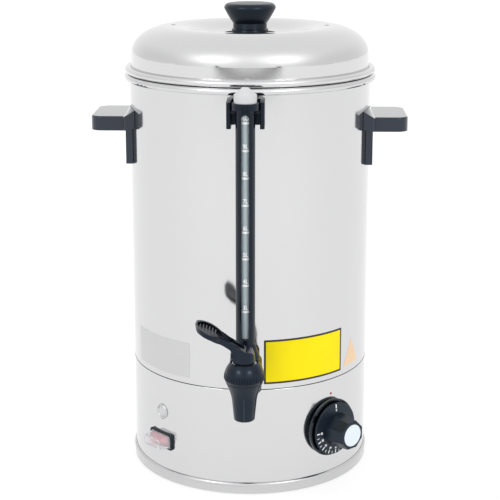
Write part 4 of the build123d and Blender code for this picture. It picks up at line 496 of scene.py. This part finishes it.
soft_black = moulded("soft_black", (0.012, 0.012, 0.013), 0.62, 0.10, 1600.0, 0.30, 0.25)
print("black finishes: 7 with a cool sheen, and rubber")

# %% [markdown]
# ## Polish on the handles
# Hands keep the tops of the handles polished. A clear coat gives a second, sharper reflection over
# the soft one, which is strongest where the surface is seen at a low angle.
# %% Handle polish
COAT_ROUGH = 0.06

handle_shader = handle_black.node_tree.nodes["Principled BSDF"]
handle_shader.inputs["Coat Weight"].default_value = 1.0
handle_shader.inputs["Coat Roughness"].default_value = COAT_ROUGH
print("coat on", handle_black.name)

# %% [markdown]
# ## Pale and coloured mouldings
# The gauge's cap, the dial's disc and the lamp's lens are pale plastic. The silicone seals and the
# cases of the electrical pieces inside the base are from the same recipe, with more texture where
# the real piece is dull.
# %% Pale and coloured mouldings
# name, colour, roughness and its variation, the texture's scale and strength, shine, darker share
milk_white = moulded("milk_white", (0.57, 0.58, 0.595), 0.30, 0.05, 900.0, 0.05, 0.5, 0.96)
disc_white = moulded("disc_white", (0.70, 0.77, 0.84), 0.30, 0.03, 900.0, 0.03, 0.5, 0.97)
lens_grey = moulded("lens_grey", (0.56, 0.565, 0.57), 0.22, 0.05, 900.0, 0.05, 0.6, 0.95)
case_grey = moulded("case_grey", (0.45, 0.46, 0.47), 0.30, 0.05, 900.0, 0.10, 0.5, 0.92)
case_beige = moulded("case_beige", (0.55, 0.50, 0.40), 0.50, 0.08, 1200.0, 0.20, 0.4, 0.90)
block_white = moulded("block_white", (0.75, 0.74, 0.70), 0.45, 0.06, 1200.0, 0.15, 0.5, 0.93)
button_red = moulded("button_red", (0.55, 0.03, 0.02), 0.30, 0.05, 1200.0, 0.10, 0.5, 0.85)
grey_silicone = moulded("grey_silicone", (0.42, 0.42, 0.40), 0.60, 0.08, 1500.0, 0.20, 0.4, 0.90)
print("pale and coloured finishes: 8")

# %% [markdown]
# ## Inks and films
# The scale and the dial are printed in white, and the index dot in red. The films are coloured plastic,
# except one with a metal face. The ridge that the two halves of the tap's mould leave is real, and its
# colour is a little paler than the plastic round it as a painted highlight along its crest.
# %% Inks and films
# name, colour, roughness and its variation, the texture's scale and strength, shine, darker share
ink_white = moulded("ink_white", (0.93, 0.94, 0.95), 0.45, 0.05, 2000.0, 0.10, 0.40, 0.95)
ink_red = moulded("ink_red", (0.42, 0.04, 0.05), 0.45, 0.05, 2000.0, 0.10, 0.40, 0.85)
# painted highlight: the ridge's paler colour stands in for light catching its crest
painted_ridge_highlight = moulded("painted_ridge_highlight", (0.045, 0.050, 0.062), 0.20, 0.03, 2000.0, 0.05, 0.50, 0.90)
film_yellow = moulded("film_yellow", (0.88, 0.72, 0.005), 0.45, 0.06, 500.0, 0.05, 0.12, 0.96)
film_edge = moulded("film_edge", (0.030, 0.020, 0.016), 0.40, 0.06, 500.0, 0.05, 0.40, 0.80)
film_peach = moulded("film_peach", (0.80, 0.58, 0.38), 0.42, 0.06, 500.0, 0.05, 0.20, 0.96)
film_silver = metal("film_silver", (0.60, 0.60, 0.605), 0.33, 0.03, 0.05, 0.04)
print("inks: 2, films: 4, and the parting line")

# %% [markdown]
# ## Clear pieces
# The sight glass, the boot over the switch and the rocker let light through. They are only partly
# transmitting: the glass is scaled by hard water, the boot is soft and a little milky, and the
# rocker is red with just a glow inside it.
# %% Clear finishes
HAZE_VARIATION, HAZE_SCALE = 0.04, 300.0


def clear(name, colour, roughness, ior, weight):
    """Glass or clear plastic. Transmission is a constant, set on the shader's own socket."""
    material, tree, shader = plain_material(name, colour, roughness)
    shader.inputs["IOR"].default_value = ior
    shader.inputs["Transmission Weight"].default_value = weight
    haze = grouped(tree, tool_texture,
                   {"Roughness": roughness, "Variation": HAZE_VARIATION, "Size": HAZE_SCALE})
    tree.links.new(haze.outputs["Roughness"], shader.inputs["Roughness"])
    return material


# name, colour, roughness, index of refraction, share that lets light through
tube_glass = clear("tube_glass", (0.60, 0.70, 0.74), 0.10, 1.47, 0.40)
boot_film = clear("boot_film", (0.97, 0.97, 0.985), 0.20, 1.38, 0.76)
rocker_red = clear("rocker_red", (0.94, 0.12, 0.22), 0.25, 1.49, 0.10)
print("clear finishes: 3")

# %% [markdown]
# ## Finish on every solid
# A node keeps its mesh and its place, and only the material in its slots changes. The table reads
# like a bill of materials, with the solids that share each finish.
# %% Finish table
finish_of = {
    satin_steel: ("tank", "base_housing"),
    bright_steel: ("lid_shell",),
    ring_steel: ("base_ring",),
    inner_steel: ("tank_floor", "lid_skirt", "bottom_plate", "thermowell"),
    screw_steel: ("base_screws", "panel_nuts", "lid_screw", "handle_screws", "bracket_screws", "shank_nut",
                  "cam_washer", "tap_stem", "lever_pin", "thermostat_shaft", "thermostat_screws"),
    spring_wire: ("tap_spring",),
    nickel_ring: ("lamp_bezel",),
    sheath_steel: ("heating_element",),
    yellow_brass: ("element_fittings", "element_nuts", "blade_terminals"),
    drawn_copper: ("thermostat_bulb", "limiter_bulb"),
    handle_black: ("handle_left", "handle_right"),
    tap_black: ("tap_body", "tap_bonnet", "tap_lever"),
    shroud_black: ("gauge_cone", "gauge_shroud", "gauge_collar", "gauge_bracket"),
    block_black: ("gauge_block", "cable_gland", "gland_cap", "gland_nut"),
    knob_black: ("lid_knob",),
    dial_black: ("dial_knob",),
    gloss_black: ("dial_bezel", "switch_frame"),
    soft_black: ("feet", "knob_washer", "gauge_seals"),
    milk_white: ("gauge_cap",),
    disc_white: ("dial_face_cap",),
    grey_silicone: ("gaskets", "seat_cup"),
    case_beige: ("thermostat_body", "limiter_body"),
    block_white: ("terminal_block",),
    button_red: ("reset_button",),
    lens_grey: ("lamp_lens",),
    case_grey: ("lamp_body",),
    tube_glass: ("gauge_glass",),
    boot_film: ("switch_boot",),
    rocker_red: ("switch_rocker",),
}
dressed = set()
for material, names in finish_of.items():
    for name in names:
        for slot in nodes[name].material_slots:
            slot.material = material
        dressed.add(name)
print("dressed", len(dressed), "of", len(nodes), "left:", sorted(set(nodes) - dressed))

# %% [markdown]
# ## Thin marks
# Printed marks and stick-on films are real things with a little thickness, a tenth of a millimetre
# or so, and each lies on the surface that carries it. A flat plate is drawn first, cut into narrow
# upright strips so that it can bend, and then wrapped round the tube or the drum. A decal made by
# shading alone would be quicker, but it would have no edge and would be lost with the shader.
# %% Plates and bends
def slab(outline, thick):
    """A closed plate from an anticlockwise outline of (x, y) points, its back at height 0."""
    plate = bmesh.new()
    back = [plate.verts.new((x, y, 0)) for x, y in outline]
    front = [plate.verts.new((x, y, thick)) for x, y in outline]
    plate.faces.new(list(reversed(back)))
    plate.faces.new(front)
    for k in range(len(back)):
        m = (k + 1) % len(back)
        plate.faces.new((back[k], back[m], front[m], front[k]))
    return plate


def rounded(width, height, corner, steps=4):
    """Outline of a rectangle with round corners, its middle at 0."""
    points = []
    for side, rise, start in ((1, 1, 0), (-1, 1, 90), (-1, -1, 180), (1, -1, 270)):
        for k in range(steps + 1):
            turn = math.radians(start + 90 * k / steps)
            points.append((side * (width / 2 - corner) + corner * math.cos(turn),
                           rise * (height / 2 - corner) + corner * math.sin(turn)))
    return points


def cut_upright(plate, step):
    """Cut a plate into upright strips, so that it can bend."""
    left = min(v.co.x for v in plate.verts)
    right = max(v.co.x for v in plate.verts)
    for k in range(1, math.ceil((right - left) / step)):
        bmesh.ops.bisect_plane(plate, geom=plate.verts[:] + plate.edges[:] + plate.faces[:],
                               plane_co=(left + k * step, 0, 0), plane_no=(1, 0, 0))


def bend_round(plate, radius, azimuth, z, centre=(0.0, 0.0)):
    """Wrap a plate round an upright cylinder: x runs round it, y goes up, z stands off it."""
    for v in plate.verts:
        turn = azimuth + v.co.x / radius
        reach = radius + v.co.z
        v.co = (centre[0] + reach * math.sin(turn), centre[1] - reach * math.cos(turn), z + v.co.y)


print("helpers: slab, rounded, cut_upright, bend_round")

# %% [markdown]
# ## From plates to pieces
# Plates that are printed or stuck on together become one object. It says which body it rides on, so that it
# moves with the joint, and it takes one material.
# %% Pieces
def new_piece(parts, name, material, body):
    """Join plates into one object at the origin, and say what it rides on."""
    whole = bmesh.new()
    for part in parts:
        step = bpy.data.meshes.new("step")
        part.to_mesh(step)
        part.free()
        whole.from_mesh(step)
        bpy.data.meshes.remove(step)
    mesh = bpy.data.meshes.new(name)
    whole.to_mesh(mesh)
    whole.free()
    mesh.materials.append(material)
    made = add_object(name, mesh)
    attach(made, body)
    return made


print("helper: new_piece")

# %% [markdown]
# ## Numbers as a mesh
# Numbers start as a text curve in the built-in font. The curve is given a thickness and made a
# little bolder, as screen printing is, and its mesh is then handled like any other plate.
# %% Lettering
BOLDER = 0.025                     # growth of the outline, as a share of the letters' size
CURVE_STEPS = 3
MERGE = 1e-6                       # points nearer than this are one


def lettering(text, size, thick, stretch=1.0):
    """Numbers as a closed mesh, middle at 0, from the built-in font."""
    curve = bpy.data.curves.new("numbers", "FONT")
    curve.body = text
    curve.size = size
    curve.extrude = thick / 2
    curve.offset = size * BOLDER
    curve.align_x = "CENTER"
    curve.align_y = "CENTER"
    curve.resolution_u = CURVE_STEPS
    drawn = add_object("numbers", curve)
    mesh = bpy.data.meshes.new_from_object(drawn.evaluated_get(bpy.context.evaluated_depsgraph_get()))
    bpy.data.objects.remove(drawn)
    bpy.data.curves.remove(curve)
    letters = bmesh.new()
    letters.from_mesh(mesh)
    bpy.data.meshes.remove(mesh)
    bmesh.ops.remove_doubles(letters, verts=letters.verts, dist=MERGE)
    for v in letters.verts:
        v.co.x *= stretch
        v.co.z += thick / 2
    bmesh.ops.recalc_face_normals(letters, faces=letters.faces)
    return letters


print("helper: lettering")

# %% [markdown]
# ## What repeats
# The scale's bars stand one above the other and the dial's ticks stand in a ring, so both come from
# one Geometry Nodes tree. It copies whatever piece it is given, with a rise and a turn from each
# copy to the next, and both are named inputs. Copying by hand in a loop would give the same mesh,
# but the tree keeps the count and the pitch as two numbers that can be changed later.
# %% A tree that repeats a piece
repeat_tree = bpy.data.node_groups.new("repeat_piece", "GeometryNodeTree")
panel = repeat_tree.interface
panel.new_socket("Geometry", in_out="INPUT", socket_type="NodeSocketGeometry")
panel.new_socket("Count", in_out="INPUT", socket_type="NodeSocketInt").default_value = 1
for label in ("Rise", "Turn", "First Turn"):
    panel.new_socket(label, in_out="INPUT", socket_type="NodeSocketFloat")
panel.new_socket("Material", in_out="INPUT", socket_type="NodeSocketMaterial")
panel.new_socket("Geometry", in_out="OUTPUT", socket_type="NodeSocketGeometry")

given = repeat_tree.nodes.new("NodeGroupInput").outputs
result = repeat_tree.nodes.new("NodeGroupOutput")
line = repeat_tree.nodes.new("GeometryNodeMeshLine")
offset = repeat_tree.nodes.new("ShaderNodeCombineXYZ")
index = repeat_tree.nodes.new("GeometryNodeInputIndex")
turn_by = repeat_tree.nodes.new("FunctionNodeAxisAngleToRotation")
copies = repeat_tree.nodes.new("GeometryNodeInstanceOnPoints")
solid = repeat_tree.nodes.new("GeometryNodeRealizeInstances")
coloured = repeat_tree.nodes.new("GeometryNodeSetMaterial")
angle = maths(repeat_tree, "MULTIPLY_ADD", index.outputs[0], given["Turn"], given["First Turn"])
for source, target in (
        (given["Count"], line.inputs["Count"]),
        (given["Rise"], offset.inputs["Z"]),
        (offset.outputs[0], line.inputs["Offset"]),
        (line.outputs[0], copies.inputs["Points"]),
        (given["Geometry"], copies.inputs["Instance"]),
        (angle, turn_by.inputs["Angle"]),
        (turn_by.outputs[0], copies.inputs["Rotation"]),
        (copies.outputs[0], solid.inputs[0]),
        (solid.outputs[0], coloured.inputs["Geometry"]),
        (given["Material"], coloured.inputs["Material"]),
        (coloured.outputs[0], result.inputs[0])):
    repeat_tree.links.new(source, target)
print("tree", repeat_tree.name, "with", len(repeat_tree.nodes), "nodes")

# %% [markdown]
# ## Running the tree
# The tree is run on one object and its result is kept as a plain mesh, because the urn's pieces are
# exported as meshes. The modifier is taken off again once its result is there.
# %% Run the tree
def repeated(plate, name, body, values):
    """Run the tree on one plate and keep the result as a plain mesh."""
    source = bpy.data.meshes.new(name)
    plate.to_mesh(source)
    plate.free()
    copier = add_object(name, source)
    modifier = copier.modifiers.new("repeat", "NODES")
    modifier.node_group = repeat_tree
    for item in panel.items_tree:
        if item.in_out == "INPUT" and item.name in values:
            modifier[item.identifier] = values[item.name]
    mesh = bpy.data.meshes.new_from_object(copier.evaluated_get(bpy.context.evaluated_depsgraph_get()))
    copier.modifiers.clear()
    copier.data = mesh
    bpy.data.meshes.remove(source)
    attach(copier, body)
    print(name, len(mesh.polygons), "faces")
    return copier


print("helper: repeated")

# %% [markdown]
# ## The litre scale
# White bars on the front of the sight glass mark every litre from three up to the top line, with a
# number over each. Their pitch is what one litre rises in the drum. The glass is round, so one bar
# is drawn flat, wrapped round it and then repeated upward.
# %% Litre bars
INK = 0.00008                      # thickness of the print
LITRE = 0.02419                    # rise of one litre in the drum
LOWEST_MARK = 0.1886
MARKS = 8
BAR_W, BAR_H = 0.0068, 0.0019
BAR_CORNER = 0.0003                # radius of its corners
BAR_SHIFT = 0.0002                 # the print sits this far off the middle
BAR_STRIP = 0.0007                 # width of the strips that bend

glass_low, glass_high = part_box("gauge_glass")
glass = ((glass_low[0] + glass_high[0]) / 2, (glass_low[1] + glass_high[1]) / 2)
glass_radius = (glass_high[0] - glass_low[0]) / 2
print_turn = BAR_SHIFT / glass_radius
bar = slab(rounded(BAR_W, BAR_H, BAR_CORNER, steps=2), INK)
cut_upright(bar, BAR_STRIP)
bend_round(bar, glass_radius, print_turn, LOWEST_MARK, glass)
repeated(bar, "litre_bars", "urn", {"Count": MARKS, "Rise": LITRE, "Material": ink_white})
print("marks from", LOWEST_MARK, "to", round(LOWEST_MARK + (MARKS - 1) * LITRE, 4))

# %% [markdown]
# ## The litre numbers
# Each number stands over its bar and is wrapped round the glass in the same way. They differ from
# each other, so a loop makes them one by one and they are joined into one object.
# %% Litre numbers
LOWEST_LITRE = 3
NUMBER_SIZE = 0.0054
NUMBER_UP = 0.0038                 # middle of a number above its bar
NUMBER_STRIP = 0.0008
NARROW, TOP_NARROW = 0.92, 0.66    # the top line has three letters, so they are narrower

numbers = []
for k in range(MARKS - 1):
    numbers.append(lettering(str(LOWEST_LITRE + k) + "L", NUMBER_SIZE, INK, NARROW))
numbers.append(lettering("MAX", NUMBER_SIZE, INK, TOP_NARROW))
for k, glyphs in enumerate(numbers):
    cut_upright(glyphs, NUMBER_STRIP)
    bend_round(glyphs, glass_radius, print_turn, LOWEST_MARK + k * LITRE + NUMBER_UP, glass)
new_piece(numbers, "litre_numbers", ink_white, "urn")
print("numbers:", MARKS)

# %% [markdown]
# ## The dial's place
# The dial's print is drawn flat, with the knob's axis as Z, and then stood up on the housing. Where
# the knob stands and which way it faces are read from its joint, so that the print turns true.
# %% Stand a print up on the dial
WALL = round(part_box("base_housing")[1].x, 4)       # radius of the drum and of the housing

dial_joint = joints["dial_turn"]
dial_out = Vector((dial_joint["pos_m"][0], dial_joint["pos_m"][1], 0)).normalized()
dial_right = Vector((-dial_out.y, dial_out.x, 0))
dial_place = Matrix((dial_right, Vector((0, 0, 1)), dial_out)).transposed().to_4x4()
dial_place.translation = dial_out * WALL + Vector((0, 0, dial_joint["pos_m"][2]))
print("dial faces", tuple(round(v, 4) for v in dial_out), "at height", dial_joint["pos_m"][2])

# %% [markdown]
# ## The dial's ticks
# The knob's skirt carries a long tick and a zero at its top, and then from a quarter turn on, going
# anticlockwise, a tick for every ten degrees of water temperature with a shorter one between. The
# skirt is slightly conical, so each mark is raised to the cone before it is repeated.
# %% Ticks
SKIRT_EDGE, SKIRT_RISE = 0.0249, 0.0088    # the skirt's edge, and how far it stands off the wall
CONE_R, CONE_RISE = 0.0143, 0.0012         # the cone's top, and its rise from the edge
TENS = 9                                   # marks from 30 to 110
TEN_DEGREES = math.radians(22.5)           # turn of the knob for ten degrees of water
FIRST_TURN = math.pi / 2
TICK_END = 0.0243
LONG_W, LONG_START = 0.00095, 0.0208
SHORT_W, SHORT_START = 0.0006, 0.0220
ZERO_W, ZERO_START = 0.0012, 0.0206


def on_skirt(plate):
    """Raise a flat mark to the skirt's cone."""
    for v in plate.verts:
        away = math.hypot(v.co.x, v.co.y)
        v.co.z += SKIRT_RISE + CONE_RISE * (SKIRT_EDGE - away) / (SKIRT_EDGE - CONE_R)
    return plate


def tick(width, start):
    """A mark from start to the ticks' common end, at the top of the skirt."""
    half = width / 2
    return on_skirt(slab([(-half, start), (half, start), (half, TICK_END), (-half, TICK_END)], INK))


def ring_of_ticks(name, width, start, count, first):
    """Ticks ten degrees of water apart, riding on the dial."""
    return repeated(tick(width, start), name, "dial",
                    {"Count": count, "Turn": TEN_DEGREES, "First Turn": first, "Material": ink_white})


long_ticks = ring_of_ticks("dial_long_ticks", LONG_W, LONG_START, TENS, FIRST_TURN)
short_ticks = ring_of_ticks("dial_short_ticks", SHORT_W, SHORT_START, TENS - 1, FIRST_TURN + TEN_DEGREES / 2)

# %% [markdown]
# ## The dial's numbers
# Each number is turned with its tick, so it is upright when its tick is at the top, where the red
# dot reads it. The zero's own tick is joined to them. All of the dial's print is then stood up on
# the housing.
# %% Dial numbers
LOWEST_DEGREES = 30
FIGURE_SIZE, ZERO_SIZE = 0.0030, 0.0036
FIGURE_R = 0.0186                          # middle of a number from the knob's axis
FIGURE_NARROW, LAST_NARROW = 0.9, 0.8      # the last number is drawn a little narrower

marks = [("0", ZERO_SIZE, FIGURE_NARROW, 0)]
for k in range(TENS):
    narrow = LAST_NARROW if k == TENS - 1 else FIGURE_NARROW
    marks.append((str(LOWEST_DEGREES + 10 * k), FIGURE_SIZE, narrow, FIRST_TURN + k * TEN_DEGREES))
figures = [tick(ZERO_W, ZERO_START)]
for text, size, narrow, around in marks:
    glyphs = lettering(text, size, INK, narrow)
    glyphs.transform(Matrix.Rotation(around, 4, "Z") @ Matrix.Translation((0, FIGURE_R, 0)))
    figures.append(on_skirt(glyphs))
dial_numbers = new_piece(figures, "dial_numbers", ink_white, "dial")
for printed in (long_ticks, short_ticks, dial_numbers):
    printed.data.transform(dial_place)
print("dial printed from", marks[1][0], "to", marks[-1][0])

# %% [markdown]
# ## How a film is made
# A film is cut from flat sheet and takes the drum's curve when it is stuck on, so it is made in the
# same order here. A film that lies on another one is lifted by that one's thickness.
# %% Helpers for films
FILM_STRIP = 0.004                         # width of the strips that bend


def arc(degrees):
    """Length round the drum."""
    return math.radians(degrees) * WALL


def film(outline, thick, azimuth, z, name, material, lift=0.0):
    """A stick-on film wrapped round the drum, its middle at an azimuth in degrees."""
    plate = slab(outline, thick)
    cut_upright(plate, FILM_STRIP)
    for v in plate.verts:
        v.co.z += lift
    bend_round(plate, WALL, math.radians(azimuth), z)
    new_piece([plate], name, material, "urn")


print("helpers: arc, film")

# %% [markdown]
# ## Films and the index dot
# Two wide films and a small three-cornered one are stuck on the drum, and a red dot over the dial
# shows where its number is read. The yellow film has a dark edge, made as a slightly larger film
# under it. They are left without any print.
# %% Films on the drum
FILM = 0.00008                             # thickness of most films
YELLOW_FILM, CORNER_FILM = 0.00006, 0.00009
YELLOW_TURN, YELLOW_Z = 29.0, 0.1305       # azimuth in degrees, and height of its middle
YELLOW_ARC, YELLOW_H = 42.0, 0.0425        # degrees round the drum, and height
YELLOW_ROUND, DARK_ROUND = 0.0004, 0.0008  # radius of the corners, inside the edge and outside
DARK_EDGE = 0.0019                         # width of the dark edge
SILVER_TURN, SILVER_Z = -46.3, 0.1270
SILVER_ARC, SILVER_H, SILVER_ROUND = 37.5, 0.0345, 0.0010
CORNER_TURN, CORNER_Z = 58.5, 0.1240
CORNER_HALF, CORNER_TIP = 0.0128, 0.0006   # half widths at its foot and at its tip
CORNER_UP = 0.0125                         # half its height
DOT_TURN, DOT_Z = 43.3, 0.0895
DOT_R, DOT_SIDES = 0.00125, 20

dark = rounded(arc(YELLOW_ARC), YELLOW_H, DARK_ROUND)
yellow = rounded(arc(YELLOW_ARC) - 2 * DARK_EDGE, YELLOW_H - 2 * DARK_EDGE, YELLOW_ROUND)
silver = rounded(arc(SILVER_ARC), SILVER_H, SILVER_ROUND)
three_cornered = [(-CORNER_HALF, -CORNER_UP), (CORNER_HALF, -CORNER_UP),
                  (CORNER_TIP, CORNER_UP), (-CORNER_TIP, CORNER_UP)]
around_dot = [math.tau * k / DOT_SIDES for k in range(DOT_SIDES)]
dot = [(DOT_R * math.cos(turn), DOT_R * math.sin(turn)) for turn in around_dot]
film(dark, FILM, YELLOW_TURN, YELLOW_Z, "front_film_edge", film_edge)
film(yellow, YELLOW_FILM, YELLOW_TURN, YELLOW_Z, "front_film", film_yellow, FILM)
film(silver, FILM, SILVER_TURN, SILVER_Z, "side_film", film_silver)
film(three_cornered, CORNER_FILM, CORNER_TURN, CORNER_Z, "corner_film", film_peach)
film(dot, FILM, DOT_TURN, DOT_Z, "index_dot", ink_red)
print("4 films and a dot")

# %% [markdown]
# ## Painted shade in the seam between drum and base
# The drum stands in the base, and the groove between them shows as a fine dark line all round. That line is
# shade in the groove, painted here as a narrow black band, hardly proud of the sheet, made as a closed ring
# by going round a four-cornered section.
# %% Painted shade band in the seam
SEAM_Z = 0.1042
SHADE_BAND_HALF = 0.00032                        # half the band's height
SHADE_BAND_OUT, SHADE_BAND_IN = 0.00006, 0.0003        # its reach out of the wall and into it
SHADE_BAND_STEPS = 160

shade_band = bmesh.new()
hoops = []
for reach, rise in ((WALL - SHADE_BAND_IN, -SHADE_BAND_HALF), (WALL + SHADE_BAND_OUT, -SHADE_BAND_HALF),
                    (WALL + SHADE_BAND_OUT, SHADE_BAND_HALF), (WALL - SHADE_BAND_IN, SHADE_BAND_HALF)):
    hoops.append([shade_band.verts.new((reach * math.sin(math.tau * k / SHADE_BAND_STEPS),
                                  -reach * math.cos(math.tau * k / SHADE_BAND_STEPS), SEAM_Z + rise))
                  for k in range(SHADE_BAND_STEPS)])
for one, two in zip(hoops, hoops[1:] + hoops[:1]):
    for k in range(SHADE_BAND_STEPS):
        m = (k + 1) % SHADE_BAND_STEPS
        shade_band.faces.new((one[k], one[m], two[m], two[k]))
bmesh.ops.recalc_face_normals(shade_band, faces=shade_band.faces)
# painted shade: a black band standing in for the shade in the groove, not a real sealant
new_piece([shade_band], "seam_shade_band", soft_black, "urn")
print("seal at", SEAM_Z)

# %% [markdown]
# ## The tap's spring
# The return spring shortens as the lever lifts the stem. Its wire is the imported coil with its loose
# triangles joined up, kept as a piece of its own that rides on the urn, and the imported coil is hidden.
# %% Return spring
LOOSE = 1e-7                               # corners nearer than this are one

coil = bmesh.new()
coil.from_mesh(nodes["tap_spring"].data)
bmesh.ops.remove_doubles(coil, verts=coil.verts, dist=LOOSE)
return_spring = new_piece([coil], "return_spring", spring_wire, "urn")
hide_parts("tap_spring")
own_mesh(return_spring)

# %% [markdown]
# ## The parting line of the tap
# The two halves of the tap's mould meet in a fine upright ridge down the front of the spout. It has
# to follow the turned outline, so rays are sent at the spout from in front, and the ridge is laid
# along the points that they hit.
# %% A ridge along the spout
RIDGE_HALF, RIDGE_RISE = 0.00035, 0.00016  # half its width, and how proud it stands
RIDGE_ROOT = 0.0002                        # its edges lie this deep in the spout
RIDGE_FROM, RIDGE_TO = 0.0006, 0.0225      # its ends above the spout's mouth
RIDGE_STEPS = 26
RAY_START = -0.3                           # well in front of the tap

spout = BVHTree.FromObject(nodes["tap_body"], bpy.context.evaluated_depsgraph_get())
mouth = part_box("tap_body")[0][2]
ridge = bmesh.new()
rings = []
for k in range(RIDGE_STEPS + 1):
    z = mouth + RIDGE_FROM + (RIDGE_TO - RIDGE_FROM) * k / RIDGE_STEPS
    struck = spout.ray_cast(Vector((0, RAY_START, z)), Vector((0, 1, 0)))[0]
    if struck is None:
        continue
    rings.append([ridge.verts.new((x, struck.y + y, z)) for x, y in (
        (-RIDGE_HALF, RIDGE_ROOT), (0, -RIDGE_RISE), (RIDGE_HALF, RIDGE_ROOT))])
for below, over in zip(rings, rings[1:]):
    for k in range(3):
        m = (k + 1) % 3
        ridge.faces.new((below[k], below[m], over[m], over[k]))
ridge.faces.new(list(reversed(rings[0])))
ridge.faces.new(rings[-1])
bmesh.ops.recalc_face_normals(ridge, faces=ridge.faces)
# the ridge's shape is real, and its paler finish is a painted highlight
new_piece([ridge], "spout_parting_line", painted_ridge_highlight, "urn")
print("ridge of", len(rings), "rings")
